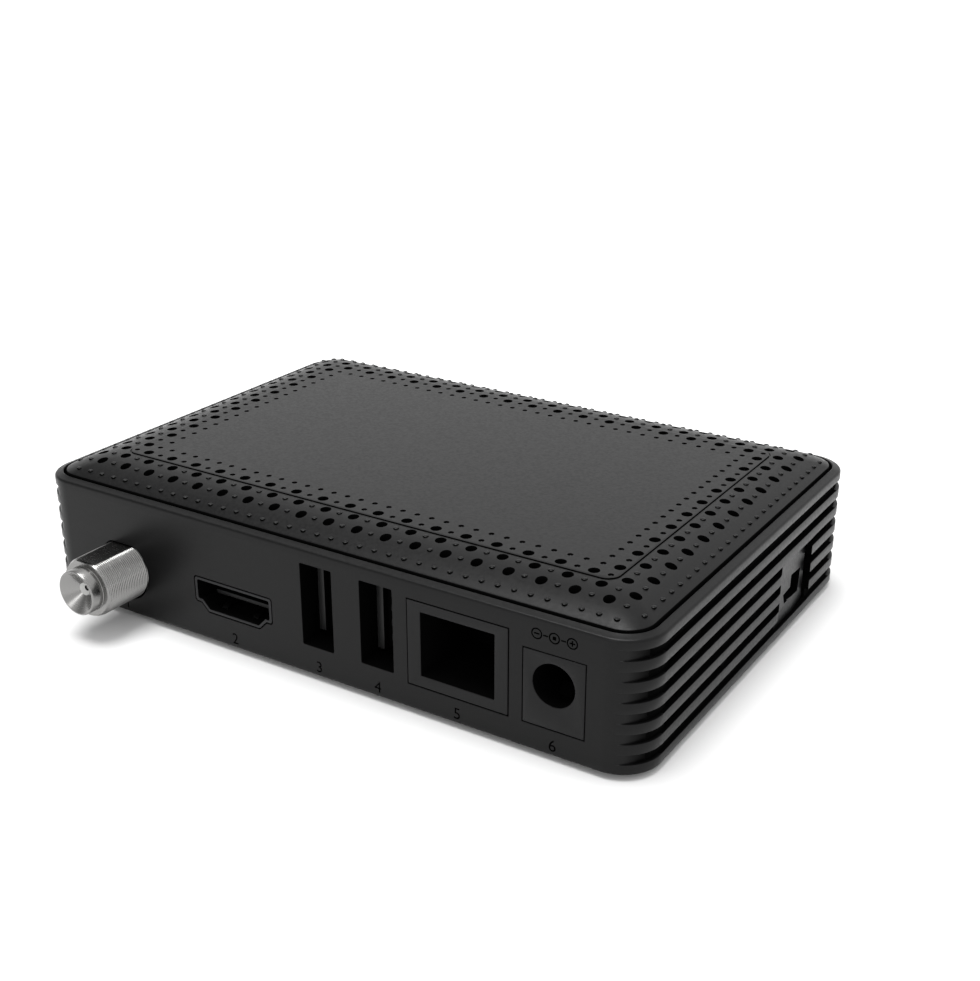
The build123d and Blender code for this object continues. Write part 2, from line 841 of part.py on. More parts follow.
lan_mouth_middle = board_top + lan_mouth_bottom + lan_mouth_height / 2
with BuildPart() as lan_housing:
    with BuildSketch(rear_wall()):
        with Locations((lan_place, board_top)):
            Rectangle(lan_width, lan_height, align=(Align.CENTER, Align.MIN))
    extrude(amount=-lan_length)
    with BuildSketch(rear_wall()):
        with Locations((lan_place, lan_mouth_middle)):
            Rectangle(lan_mouth_width, lan_mouth_height)
    extrude(amount=-lan_mouth_depth, mode=Mode.SUBTRACT)
lan_housing.part.label = "lan_housing"
export_step(lan_housing.part, "parts/lan_housing.step")

lan_roof = lan_mouth_middle + lan_mouth_height / 2
with BuildPart() as lan_contact_set:
    for contact in range(lan_contacts):
        from_middle = (contact - (lan_contacts - 1) / 2) * lan_contact_pitch
        side_plane = Plane(
            origin=(-lan_place - from_middle, rear_y, foot_height),
            x_dir=(0, -1, 0),
            z_dir=(-1, 0, 0),
        )
        with BuildSketch(side_plane):
            with BuildLine():
                Polyline(
                    (lan_contact_start, lan_roof),
                    (lan_contact_start + lan_contact_thickness, lan_roof),
                    (lan_mouth_depth - lan_contact_thickness, lan_roof - lan_contact_drop),
                    (lan_mouth_depth, lan_roof - lan_contact_drop),
                    (lan_mouth_depth, lan_roof - lan_contact_drop - lan_contact_thickness),
                    (
                        lan_mouth_depth - lan_contact_thickness,
                        lan_roof - lan_contact_drop - lan_contact_thickness,
                    ),
                    close=True,
                )
            make_face()
        extrude(amount=lan_contact_thickness / 2, both=True)
lan_contact_set.part.label = "lan_contacts"
export_step(lan_contact_set.part, "parts/lan_contacts.step")

# ---------------------------------------------------------------- power jack

with BuildPart() as power_housing:
    with BuildSketch(rear_wall()):
        with Locations((power_place, board_top)):
            Rectangle(power_width, power_height, align=(Align.CENTER, Align.MIN))
    extrude(amount=-power_length)
    with BuildSketch(rear_wall()):
        with Locations((power_place, board_top + power_hole_height)):
            Circle(power_hole_radius)
    extrude(amount=-power_hole_depth, mode=Mode.SUBTRACT)
power_housing.part.label = "power_housing"
export_step(power_housing.part, "parts/power_housing.step")

with BuildPart() as power_pin:
    with BuildSketch(rear_wall(power_hole_depth)):
        with Locations((power_place, board_top + power_hole_height)):
            Circle(power_pin_radius)
    extrude(amount=power_hole_depth - power_pin_recess)
power_pin.part.label = "power_pin"
export_step(power_pin.part, "parts/power_pin.step")

power_leaf_floor = board_top + power_hole_height - power_hole_radius
with BuildPart() as power_leaf:
    with BuildSketch(
        Plane(
            origin=(-power_place, rear_y, foot_height),
            x_dir=(0, -1, 0),
            z_dir=(-1, 0, 0),
        )
    ):
        with BuildLine():
            Polyline(
                (power_hole_depth, power_leaf_floor + power_leaf_thickness),
                (power_hole_depth / 2, power_leaf_floor + power_leaf_rise + power_leaf_thickness),
                (power_hole_depth / 3, power_leaf_floor + power_leaf_thickness),
                (power_hole_depth / 3, power_leaf_floor + power_leaf_thickness / 2),
                (power_hole_depth / 2, power_leaf_floor + power_leaf_rise),
                (power_hole_depth, power_leaf_floor + power_leaf_thickness / 2),
                close=True,
            )
        make_face()
    extrude(amount=power_leaf_width / 2, both=True)
power_leaf.part.label = "power_leaf"
export_step(power_leaf.part, "parts/power_leaf.step")

# ---------------------------------------------------------------- side socket

side_housing_length = side_bore_depth + wall / 2
with BuildPart() as side_housing:
    with BuildSketch(socket_end(wall)):
        with Locations((side_socket_centre, board_top)):
            Rectangle(
                side_housing_width,
                side_housing_height,
                align=(Align.CENTER, Align.MIN),
            )
    extrude(amount=-side_housing_length)
    with BuildSketch(socket_end(wall)):
        with Locations((side_socket_centre, side_bore_height)):
            RegularPolygon(side_bore_radius, large_round_sides)
    extrude(amount=-side_bore_depth, mode=Mode.SUBTRACT)
side_housing.part.label = "side_housing"
export_step(side_housing.part, "parts/side_housing.step")

with BuildPart() as side_contacts:
    with BuildSketch(socket_end(wall + side_bore_depth / 2)):
        with Locations((side_socket_centre, side_bore_height)):
            with GridLocations(2 * (side_bore_radius - side_contact_size), 1.0, 2, 1):
                Rectangle(side_contact_size, side_contact_size)
    extrude(amount=-side_bore_depth / 2)
side_contacts.part.label = "side_contacts"
export_step(side_contacts.part, "parts/side_contacts.step")

# ---------------------------------------------------------------- processor and its heat sink

with BuildPart() as processor:
    with BuildSketch(level(board_top)):
        with Locations(*on_board(processor_place)):
            Rectangle(processor_size, processor_size)
    extrude(amount=processor_height)
    chamfer(processor.faces().sort_by(Axis.Z)[-1].edges(), length=processor_height / 4)
processor.part.label = "processor"
export_step(processor.part, "parts/processor.step")

with BuildPart() as thermal_pad:
    with BuildSketch(level(board_top + processor_height)):
        with Locations(*on_board(processor_place)):
            Rectangle(processor_size - processor_height, processor_size - processor_height)
    extrude(amount=pad_thickness)
thermal_pad.part.label = "thermal_pad"
export_step(thermal_pad.part, "parts/thermal_pad.step")

sink_bottom = board_top + processor_height + pad_thickness
with BuildPart() as heat_sink:
    with BuildSketch(level(sink_bottom)):
        with Locations(*on_board(processor_place)):
            Rectangle(sink_size, sink_size)
    extrude(amount=sink_base)
    fin_pitch = (sink_size - sink_fin_thickness) / (sink_fins - 1)
    with BuildSketch(level(sink_bottom + sink_base)):
        with Locations(*on_board(processor_place)):
            with GridLocations(fin_pitch, sink_size, sink_fins, 1):
                Rectangle(sink_fin_thickness, sink_size)
    extrude(amount=sink_height - sink_base)
heat_sink.part.label = "heat_sink"
export_step(heat_sink.part, "parts/heat_sink.step")

# ---------------------------------------------------------------- other pieces on the board

with BuildPart() as memory_chips:
    with BuildSketch(level(board_top)):
        with Locations(*on_board(*memory_places)):
            Rectangle(*memory_size)
    extrude(amount=memory_height)
memory_chips.part.label = "memory_chips"
export_step(memory_chips.part, "parts/memory_chips.step")

with BuildPart() as flash_chip:
    with BuildSketch(level(board_top)):
        with Locations(*on_board(flash_place)):
            Rectangle(*flash_size)
    extrude(amount=flash_height)
flash_chip.part.label = "flash_chip"
export_step(flash_chip.part, "parts/flash_chip.step")

with BuildPart() as regulator:
    with BuildSketch(level(board_top)):
        with Locations(*on_board(regulator_place)):
            Rectangle(*regulator_size)
    extrude(amount=regulator_height)
    chamfer(
        regulator.faces().sort_by(Axis.Z)[-1].edges().filter_by(Axis.X),
        length=regulator_height / 4,
    )
regulator.part.label = "regulator"
export_step(regulator.part, "parts/regulator.step")

with BuildPart() as lan_transformer:
    with BuildSketch(level(board_top)):
        with Locations(*on_board(transformer_place)):
            Rectangle(*transformer_size)
    extrude(amount=transformer_height)
    chamfer(
        lan_transformer.faces().sort_by(Axis.Z)[-1].edges().filter_by(Axis.X),
        length=transformer_height / 6,
    )
lan_transformer.part.label = "lan_transformer"
export_step(lan_transformer.part, "parts/lan_transformer.step")

with BuildPart() as capacitors:
    with BuildSketch(level(board_top)):
        with Locations(*on_board(*capacitor_places)):
            RegularPolygon(capacitor_radius, large_round_sides)
    extrude(amount=capacitor_height)
capacitors.part.label = "capacitors"
export_step(capacitors.part, "parts/capacitors.step")

with BuildPart() as inductors:
    with BuildSketch(level(board_top)) as inductor_outlines:
        with Locations(*on_board(*inductor_places)):
            Rectangle(inductor_size, inductor_size)
        chamfer(inductor_outlines.vertices(), length=inductor_corner)
    extrude(amount=inductor_height)
inductors.part.label = "inductors"
export_step(inductors.part, "parts/inductors.step")

with BuildPart() as crystal:
    with BuildSketch(level(board_top)) as crystal_outline:
        with Locations(*on_board(crystal_place)):
            Rectangle(crystal_length, crystal_width)
        chamfer(crystal_outline.vertices(), length=crystal_width / 4)
    extrude(amount=crystal_height)
crystal.part.label = "crystal"
export_step(crystal.part, "parts/crystal.step")

# ---------------------------------------------------------------- front window and display

window_middle = front_window_bottom + front_window_height / 2
with BuildPart() as front_window:
    with BuildSketch(front_wall()):
        with Locations((0, window_middle)):
            RectangleRounded(front_window_width, front_window_height, front_window_corner)
    extrude(amount=-wall)
    with BuildSketch(front_wall(wall)):
        with Locations((0, window_middle)):
            Rectangle(
                front_window_width + 2 * front_window_flange,
                front_window_height + 2 * front_window_flange,
            )
    extrude(amount=-front_window_flange_thickness)
front_window.part.label = "front_window"
export_step(front_window.part, "parts/front_window.step")

display_front = wall + front_window_flange_thickness
display_back = display_front + display_block_depth
with BuildPart() as display_board:
    with BuildSketch(front_wall(display_back)):
        with Locations((0, board_top)):
            Rectangle(
                display_board_width,
                display_board_height,
                align=(Align.CENTER, Align.MIN),
            )
    extrude(amount=-display_board_thickness)
display_board.part.label = "display_board"
export_step(display_board.part, "parts/display_board.step")

with BuildPart() as display_block:
    with BuildSketch(front_wall(display_back)):
        with Locations((0, window_middle)):
            Rectangle(display_block_width, display_block_height)
    extrude(amount=display_block_depth)
display_block.part.label = "display_block"
export_step(display_block.part, "parts/display_block.step")

with BuildPart() as remote_receiver:
    with BuildSketch(front_wall(display_back)):
        with Locations((receiver_place, window_middle)):
            Rectangle(receiver_width, receiver_height)
    extrude(amount=receiver_depth)
    with BuildSketch(level(window_middle - receiver_height / 2)):
        with Locations((receiver_place, display_back - receiver_depth - case_depth / 2)):
            Circle(receiver_lens_radius)
    extrude(amount=receiver_height)
remote_receiver.part.label = "remote_receiver"
export_step(remote_receiver.part, "parts/remote_receiver.step")

with BuildPart() as status_lamp:
    with BuildSketch(front_wall(display_back)):
        with Locations((lamp_place, window_middle)):
            Rectangle(lamp_width, lamp_height)
    extrude(amount=lamp_length)
    chamfer(
        status_lamp.faces().sort_by(Axis.Y)[0].edges(),
        length=lamp_width / 6,
    )
status_lamp.part.label = "status_lamp"
export_step(status_lamp.part, "parts/status_lamp.step")
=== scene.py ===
"""Satellite television receiver: fine pieces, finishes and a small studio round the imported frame.

The script is laid out as an add-on and is run as a script. Each operator builds one piece, or a
group of like pieces, from the boxes of the frame's nodes and the settings in the sidebar. Shapes
are worked out in millimetres and scaled to metres when a piece is finished.
"""

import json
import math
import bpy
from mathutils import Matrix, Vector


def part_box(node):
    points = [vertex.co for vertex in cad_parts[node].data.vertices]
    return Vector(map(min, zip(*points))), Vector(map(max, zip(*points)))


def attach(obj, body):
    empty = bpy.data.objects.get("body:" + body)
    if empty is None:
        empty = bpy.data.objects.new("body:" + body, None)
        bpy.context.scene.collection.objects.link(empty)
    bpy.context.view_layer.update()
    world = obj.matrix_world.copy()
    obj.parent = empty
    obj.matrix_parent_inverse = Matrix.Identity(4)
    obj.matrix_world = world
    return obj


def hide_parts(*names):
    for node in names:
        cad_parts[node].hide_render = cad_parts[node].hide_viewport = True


bl_info = {
    "name": "Satellite receiver builder",
    "version": (1, 0, 0),
    "blender": (4, 5, 0),
    "location": "3D View > Sidebar > Receiver",
    "description": "Builds the housing, cover, sockets and feet of a small satellite receiver",
    "category": "Add Mesh",
}

from types import SimpleNamespace

import bmesh
import bpy
from mathutils import Matrix, Vector

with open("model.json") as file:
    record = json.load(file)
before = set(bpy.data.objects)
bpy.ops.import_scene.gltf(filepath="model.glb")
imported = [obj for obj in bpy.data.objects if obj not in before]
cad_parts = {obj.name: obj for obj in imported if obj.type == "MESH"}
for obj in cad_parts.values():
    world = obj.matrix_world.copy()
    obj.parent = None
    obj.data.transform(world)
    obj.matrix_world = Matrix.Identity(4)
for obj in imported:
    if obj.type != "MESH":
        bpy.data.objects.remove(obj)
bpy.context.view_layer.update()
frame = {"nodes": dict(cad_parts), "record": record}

MM = 0.001


def node_box(name):
    """Lowest and highest corner of a node of the frame, in millimetres."""
    low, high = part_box(name)
    return Vector(low) / MM, Vector(high) / MM


HOUSING_LOW, HOUSING_HIGH = node_box("lower_housing")
COVER_LOW, COVER_HIGH = node_box("top_cover")
CASE_WIDTH = HOUSING_HIGH.x - HOUSING_LOW.x
CASE_DEPTH = HOUSING_HIGH.y - HOUSING_LOW.y
CASE_CENTRE_Y = (HOUSING_HIGH.y + HOUSING_LOW.y) / 2
FOOT_HEIGHT = HOUSING_LOW.z
RIM_HEIGHT = HOUSING_HIGH.z - FOOT_HEIGHT
COVER_HEIGHT = COVER_HIGH.z - FOOT_HEIGHT


# ---------------------------------------------------------------- settings


def length(name, description, millimetres):
    """A length setting with its default given in millimetres."""
    return bpy.props.FloatProperty(
        name=name,
        description=description,
        default=millimetres * MM,
        min=0.0,
        precision=5,
        unit="LENGTH",
    )


def share(name, description, default):
    """A setting between nothing and all."""
    return bpy.props.FloatProperty(
        name=name, description=description, default=default, min=0.0, max=1.0, subtype="FACTOR"
    )


def colour(name, description, default):
    """A colour setting, in linear values."""
    return bpy.props.FloatVectorProperty(
        name=name,
        description=description,
        default=default,
        size=3,
        min=0.0,
        max=1.0,
        subtype="COLOR",
    )


def amount(name, description, default, unit, least=0.0):
    """A setting with a least value, in a unit."""
    return bpy.props.FloatProperty(
        name=name, description=description, default=default, min=least, unit=unit
    )


class HousingSettings(bpy.types.PropertyGroup):
    """Sizes of the lower housing."""

    corner_radius: length("Corner radius", "Radius of the upright corners", 6.0)
    wall: length("Wall", "Thickness of the upright walls", 2.4)
    floor: length("Floor", "Thickness of the floor", 1.8)
    rim_thickness: length("Rim", "Thickness of the rim round the cover", 1.4)
    rim_drop: length("Rim drop", "Distance of the rim below the frame's rim", 0.14)
    rim_slope: length("Rim slope", "Fall of the rim towards its outer edge", 0.28)
    rim_rounding: length("Rim rounding", "Radius along the rim's outer edge", 0.45)
    seat_height: length("Cover seat", "Height of the ledge under the cover", 18.3)
    groove_count: bpy.props.IntProperty(
        name="Grooves", description="Grooves on each end wall", default=6, min=1, max=8
    )
    first_groove: length("First groove", "Height of the lowest groove's lower edge", 1.55)
    groove_pitch: length("Groove pitch", "Distance from one groove to the next", 3.03)
    groove_height: length("Groove height", "Height of a groove", 1.5)
    groove_depth: length("Groove depth", "Depth of a groove on the end wall", 0.65)
    groove_edge: length("Groove edge", "Radius along a groove's edges", 0.05)
    vent_length: length("Vent length", "Length of a vent slot", 8.0)
    vent_pitch: length("Vent pitch", "Distance from one vent slot to the next", 10.15)


class CoverSettings(bpy.types.PropertyGroup):
    """Sizes of the perforated cover."""

    inset: length("Inset", "Distance from the case's side to the cover's edge", 1.8)
    crown_radius: length("Crown radius", "Radius of the cover's curved margin", 15.1)
    panel_inset: length("Panel inset", "Distance from the case's side to the panel line", 9.7)
    panel_step: length("Panel step", "Height of the middle panel over the margin", 0.15)
    hole_radius: length("Hole radius", "Radius of the through holes", 0.81)
    dot_radius: length("Dot radius", "Radius of the bumps and dimples", 0.44)
    bump_height: length("Bump height", "Height of the bumps", 0.2)
    dimple_depth: length("Dimple depth", "Depth of the dimples", 0.35)


class AerialSettings(bpy.types.PropertyGroup):
    """Sizes of the aerial connector."""

    thread_radius: length("Thread radius", "Outer radius of the thread", 4.7625)
    thread_pitch: length("Thread pitch", "Distance from one turn to the next", 0.34)
    thread_depth: length("Thread depth", "Depth of the thread", 0.13)
    thread_end: length("Thread end", "Reach of the thread from the socket wall", 7.6)
    flat_height: length("Flat height", "Height of the flat over the axis", 4.2)


class FinishSettings(bpy.types.PropertyGroup):
    """Colours and textures of the finishes."""

    case_colour: colour("Case colour", "Colour of the moulded case", (0.0047, 0.0047, 0.0048))
    case_roughness: share("Case roughness", "Mean roughness of the moulded case", 0.34)
    grain: share("Grain", "Strength of the case's moulded grain", 0.12)
    metal_colour: colour("Plating colour", "Colour of the plated connector", (0.25, 0.248, 0.243))


class StageSettings(bpy.types.PropertyGroup):
    """Floor, lights and camera."""

    floor_colour: colour("Floor colour", "Colour of the floor", (0.78, 0.78, 0.78))
    sky: amount("Sky", "Strength of the even light all round", 1.09, "NONE")
    dark_side: share("Dark side", "How far the sky is dimmed high over the aerial's end", 0.75)
    top: amount("Top light", "Power of the light overhead", 92.0, "POWER")
    rear: amount("Rear light", "Power of the light over the sockets", 5.0, "POWER")
    focal_length: amount("Focal length", "Lens of the camera", 52.392, "CAMERA", 1.0)


def in_millimetres(settings):
    """The group's lengths in millimetres, and its counts, by name."""
    sizes = {}
    for name in type(settings).__annotations__:
        value = getattr(settings, name)
        sizes[name] = value / MM if isinstance(value, float) else value
    return SimpleNamespace(**sizes)


# ---------------------------------------------------------------- outlines


def rounded_rectangle(width, depth, radius, corner_steps, stops=()):
    """Points round a rectangle about the origin, each with the way out, anticlockwise from +X.

    The stops are extra places along the two sides that run along Y.
    """
    half_x = width / 2 - radius
    half_y = depth / 2 - radius
    points = []
    for quarter, (cx, cy) in enumerate(
        ((half_x, half_y), (-half_x, half_y), (-half_x, -half_y), (half_x, -half_y))
    ):
        for step in range(corner_steps + 1):
            angle = (quarter + step / corner_steps) * math.pi / 2
            out = Vector((math.cos(angle), math.sin(angle)))
            points.append((Vector((cx, cy)) + out * radius, out))
        if quarter % 2 == 1:
            last, out = points[-1]
            for stop in sorted(stops, reverse=quarter == 1):
                points.append((Vector((last.x, stop)), out))
    return points


def offset_polygon(points, amount):
    """The polygon with every side moved outwards by the amount; points run anticlockwise."""
    moved = []
    for index, point in enumerate(points):
        before = (point - points[index - 1]).normalized()
        after = (points[(index + 1) % len(points)] - point).normalized()
        normal_before = Vector((before.y, -before.x))
        normal_after = Vector((after.y, -after.x))
        bisector = (normal_before + normal_after).normalized()
        moved.append(point + bisector * amount / max(bisector.dot(normal_after), 0.2))
    return moved


def round_corners(points, radius, steps=5):
    """The convex polygon with each corner replaced by an arc of the radius."""
    rounded = []
    for index, point in enumerate(points):
        before = (points[index - 1] - point).normalized()
        after = (points[(index + 1) % len(points)] - point).normalized()
        half = before.angle(after) / 2
        start = point + before * radius / math.tan(half)
        end = point + after * radius / math.tan(half)
        centre = point + (before + after).normalized() * radius / math.sin(half)
        for step in range(steps + 1):
            way = (start - centre).lerp(end - centre, step / steps).normalized()
            rounded.append(centre + way * radius)
    return rounded


def rectangle(centre_x, centre_y, width, height):
    """Corners of a rectangle, anticlockwise."""
    return [
        Vector((centre_x + side_x * width / 2, centre_y + side_y * height / 2))
        for side_x, side_y in ((-1, -1), (1, -1), (1, 1), (-1, 1))
    ]


def circle(centre_x, centre_y, radius, steps=48):
    """Points of a circle, anticlockwise."""
    turns = [2 * math.pi * step / steps for step in range(steps)]
    return [
        Vector((centre_x + radius * math.cos(turn), centre_y + radius * math.sin(turn)))
        for turn in turns
    ]


# ---------------------------------------------------------------- walls to draw on


def on_level(x, y, height):
    """Point over the case's middle at a height above its underside."""
    return Vector((x, CASE_CENTRE_Y + y, FOOT_HEIGHT + height))


def on_rear(right, up, out=0.0):
    """Point on the socket wall: right of its middle as seen from outside."""
    return Vector((-right, HOUSING_HIGH.y + out, FOOT_HEIGHT + up))


def on_front(right, up, out):
    """Point on the front wall: right of its middle as seen from outside."""
    return Vector((right, HOUSING_LOW.y - out, FOOT_HEIGHT + up))


def on_pad_end(back, up, out):
    """Point on the end wall that has the pad: distance from the socket wall and height."""
    return Vector((HOUSING_LOW.x - out, HOUSING_HIGH.y - back, FOOT_HEIGHT + up))


def drawn(wall, outline, out):
    """The outline's points on a wall, at a distance out of it."""
    return [wall(point.x, point.y, out) for point in outline]


# ---------------------------------------------------------------- meshes


def add_object(name, data):
    """A new object in the scene."""
    made = bpy.data.objects.new(name, data)
    bpy.context.scene.collection.objects.link(made)
    return made


def object_from(name, shape):
    """A new object with the shape, which is freed."""
    mesh = bpy.data.meshes.new(name)
    shape.to_mesh(mesh)
    shape.free()
    return add_object(name, mesh)


def skin(name, rings, capped=True):
    """A skin over rings of equal point counts, each ring given as points in space."""
    shape = bmesh.new()
    rows = [[shape.verts.new(point) for point in ring] for ring in rings]
    for lower, upper in zip(rows, rows[1:]):
        for index in range(len(lower)):
            following = (index + 1) % len(lower)
            shape.faces.new((lower[index], lower[following], upper[following], upper[index]))
    if capped:
        shape.faces.new(rows[0][::-1])
        shape.faces.new(rows[-1])
    bmesh.ops.remove_doubles(shape, verts=shape.verts, dist=1e-5)
    bmesh.ops.recalc_face_normals(shape, faces=shape.faces)
    return object_from(name, shape)


def loop_skin(name, rings):
    """A closed skin whose last ring joins its first, as on a turned ring or a sleeve."""
    return skin(name, [*rings, rings[0]], capped=False)


def slab(name, wall, outline, start, end):
    """A solid with the same outline at two distances out of a wall."""
    return skin(name, [drawn(wall, outline, out) for out in (start, end)])


def turned(name, profile, centre, steps=96, hollow=False, flat=math.inf):
    """A piece turned about an axis that runs out of the socket wall: (radius, reach) pairs.

    A hollow piece's profile closes on itself; a full one is capped at both ends. The flat is the
    height over the axis at which the piece is cut level.
    """
    right, up = centre
    rings = [
        [on_rear(p.x, min(p.y, up + flat), reach) for p in circle(right, up, radius, steps)]
        for radius, reach in profile
    ]
    return loop_skin(name, rings) if hollow else skin(name, rings)


def opening_cutter(name, outline, wall, depth, edge):
    """A solid that cuts an opening into a wall and breaks the opening's outer edge."""
    beyond = 0.3
    levels = ((-depth, 0.0), (-edge, 0.0), (beyond, edge + beyond))
    return skin(name, [drawn(wall, offset_polygon(outline, grown), out) for out, grown in levels])


def joined(name, objects):
    """One object from the meshes of several, which are removed."""
    shape = bmesh.new()
    for piece in objects:
        shape.from_mesh(piece.data)
        bpy.data.objects.remove(piece)
    return object_from(name, shape)


def evaluated_mesh(piece):
    """A mesh of the piece as its modifiers make it."""
    graph = bpy.context.evaluated_depsgraph_get()
    graph.update()
    return bpy.data.meshes.new_from_object(piece.evaluated_get(graph))


def made_plain(piece):
    """Replaces the piece's mesh by its evaluated one and drops its modifiers."""
    mesh = evaluated_mesh(piece)
    piece.modifiers.clear()
    piece.data = mesh
    if len(mesh.polygons) == 0:
        raise RuntimeError(f"{piece.name} has no faces")
    return piece


def carve(piece, cutter, solver="MANIFOLD"):
    """Cuts the cutter out of the piece and removes the cutter."""
    change = piece.modifiers.new("carve", "BOOLEAN")
    change.operation = "DIFFERENCE"
    change.object = cutter
    change.solver = solver
    made_plain(piece)
    bpy.data.objects.remove(cutter)


def frame_copy(node, name):
    """A copy of a node of the frame with whole faces, in millimetres."""
    shape = bmesh.new()
    shape.from_mesh(frame["nodes"][node].data)
    bmesh.ops.scale(shape, vec=Vector((1, 1, 1)) / MM, verts=shape.verts)
    bmesh.ops.remove_doubles(shape, verts=shape.verts, dist=1e-3)
    bmesh.ops.dissolve_limit(
        shape, angle_limit=math.radians(1), verts=shape.verts, edges=shape.edges
    )
    return object_from(name, shape)


def soften(piece, width, segments=2, angle=40):
    """Rounds the piece's sharp edges."""
    edge = piece.modifiers.new("edges", "BEVEL")
    edge.width = width
    edge.segments = segments
    edge.limit_method = "ANGLE"
    edge.angle_limit = math.radians(angle)
    edge.use_clamp_overlap = True
    return made_plain(piece)


def darken(piece, hidden):
    """Paints shade: gives the black shade finish to the faces that pass a test on their middle and
    their way out.
    """
    piece.data.materials.append(finish_for("shade_black"))
    for face in piece.data.polygons:
        if hidden(face.center / MM, face.normal):
            face.material_index = len(piece.data.materials) - 1


def darken_behind(piece, depth):
    """Paints shade with the black finish on the faces that lie further than a depth behind the
    socket wall.
    """
    darken(piece, lambda middle, out: middle.y < HOUSING_HIGH.y - depth)


def dim_points(piece, shaded):
    """Writes how much painted shade the case's finish carries at each point, from 0 to 1, by its
    place.
    """
    painted_shade_share = piece.data.attributes.new("painted_shade_share", "FLOAT", "POINT")
    for point, value in zip(piece.data.vertices, painted_shade_share.data):
        value.value = shaded(point.co / MM)


def past_corner(place, corner):
    """How far a place lies beyond the start of the nearest upright corner, across and along."""
    return (
        abs(place.x) - CASE_WIDTH / 2 + corner,
        abs(place.y - CASE_CENTRE_Y) - CASE_DEPTH / 2 + corner,
    )


def depth_inside(place, corner):
    """How far a place lies within the case's upright sides."""
    past = past_corner(place, corner)
    return corner - (math.hypot(*past) if min(past) > 0 else max(past))


def finish_piece(piece, slot, *nodes, finish=None, smooth_angle=32):
    """Scales a piece to metres, smooths it, attaches it to the root body, gives it a finish and
    hides the frame's nodes that it stands for.

    The finish is the slot's own, unless another is named.
    """
    piece.data.transform(Matrix.Scale(MM, 4))
    piece.data.polygons.foreach_set("use_smooth", [True] * len(piece.data.polygons))
    piece.data.set_sharp_from_angle(angle=math.radians(smooth_angle))
    piece.data.materials.clear()
    piece.data.materials.append(finish_for(finish or slot))
    piece.data.update()
    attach(piece, "root")
    if nodes:
        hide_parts(*nodes)


# ---------------------------------------------------------------- node trees


def feed(socket, value):
    """Sets a node's input to a plain value, or links it to another node's output."""
    if isinstance(value, Value):
        value = value.socket
    if isinstance(value, bpy.types.NodeSocket):
        socket.id_data.links.new(value, socket)
    else:
        socket.default_value = value


class Value:
    """A node's output, to be reckoned with like any other number."""

    def __init__(self, socket):
        self.socket = socket

    def reckon(self, operation, *others):
        """The result of a math node over this value and others."""
        node = self.socket.id_data.nodes.new("ShaderNodeMath")
        node.operation = operation
        for socket, value in zip(node.inputs, (self, *others)):
            feed(socket, value)
        return Value(node.outputs[0])

    def __add__(self, other):
        return self.reckon("ADD", other)

    def __sub__(self, other):
        return self.reckon("SUBTRACT", other)

    def __rsub__(self, other):
        return self.reckon("MULTIPLY_ADD", -1.0, other)

    def __mul__(self, other):
        return self.reckon("MULTIPLY", other)

    def __truediv__(self, other):
        return self.reckon("DIVIDE", other)

    def __abs__(self):
        return self.reckon("ABSOLUTE")

    def __lt__(self, other):
        return self.reckon("LESS_THAN", other)

    def __gt__(self, other):
        return self.reckon("GREATER_THAN", other)

    def mapped(self, low, high, to_low=0.0, to_high=1.0, smooth=False):
        """The value taken from one range to another and kept within it."""
        node = self.socket.id_data.nodes.new("ShaderNodeMapRange")
        node.interpolation_type = "SMOOTHSTEP" if smooth else "LINEAR"
        names = ("Value", "From Min", "From Max", "To Min", "To Max")
        for name, value in zip(names, (self, low, high, to_low, to_high)):
            feed(node.inputs[name], value)
        return Value(node.outputs["Result"])


def add_node(tree, kind, settings=None, **sockets):
    """A node with its settings and inputs; an underscore in a keyword stands for a space."""
    node = tree.nodes.new(kind)
    for name, value in (settings or {}).items():
        setattr(node, name, value)
    for name, value in sockets.items():
        feed(node.inputs[name.replace("_", " ")], value)
    return node


def new_tree(name, sizes):
    """An empty geometry tree, and a function that gives one of its inputs by name.

    The tree takes a mesh, the named sizes and a finish.
    """
    tree = bpy.data.node_groups.new(name, "GeometryNodeTree")
    panel = tree.interface
    panel.new_socket("Geometry", in_out="INPUT", socket_type="NodeSocketGeometry")
    for size in sizes:
        panel.new_socket(size, in_out="INPUT", socket_type="NodeSocketFloat")
    panel.new_socket("Finish", in_out="INPUT", socket_type="NodeSocketMaterial")
    panel.new_socket("Geometry", in_out="OUTPUT", socket_type="NodeSocketGeometry")
    start = tree.nodes.new("NodeGroupInput")
    return tree, lambda wanted: Value(start.outputs[wanted])


def end_tree(tree, given, geometry):
    """Ends a tree in plain faces with the finish that its input names."""
    plain = add_node(tree, "GeometryNodeRealizeInstances", Geometry=geometry)
    finished = add_node(
        tree, "GeometryNodeSetMaterial", Geometry=plain.outputs[0], Material=given("Finish")
    )
    feed(tree.nodes.new("NodeGroupOutput").inputs[0], finished.outputs[0])
    return tree


def run_tree(piece, tree, sizes, slot):
    """Applies a geometry tree to the piece with its sizes in millimetres and a slot's finish."""
    modifier = piece.modifiers.new(tree.name, "NODES")
    modifier.node_group = tree
    for item in tree.interface.items_tree:
        if item.in_out == "INPUT" and item.name in sizes:
            modifier[item.identifier] = float(sizes[item.name])
        elif item.in_out == "INPUT" and item.name == "Finish":
            modifier[item.identifier] = finish_for(slot)
    return made_plain(piece)


def position(tree):
    """The three parts of each point's place."""
    place = tree.nodes.new("GeometryNodeInputPosition").outputs[0]
    parts = add_node(tree, "ShaderNodeSeparateXYZ", Vector=place)
    return [Value(part) for part in parts.outputs]


def vector(tree, x, y, z):
    """A vector from its three parts."""
    return add_node(tree, "ShaderNodeCombineXYZ", X=x, Y=y, Z=z).outputs[0]


def points_at(tree, geometry, place):
    """The geometry with its points set to a place."""
    return add_node(tree, "GeometryNodeSetPosition", Geometry=geometry, Position=place).outputs[0]


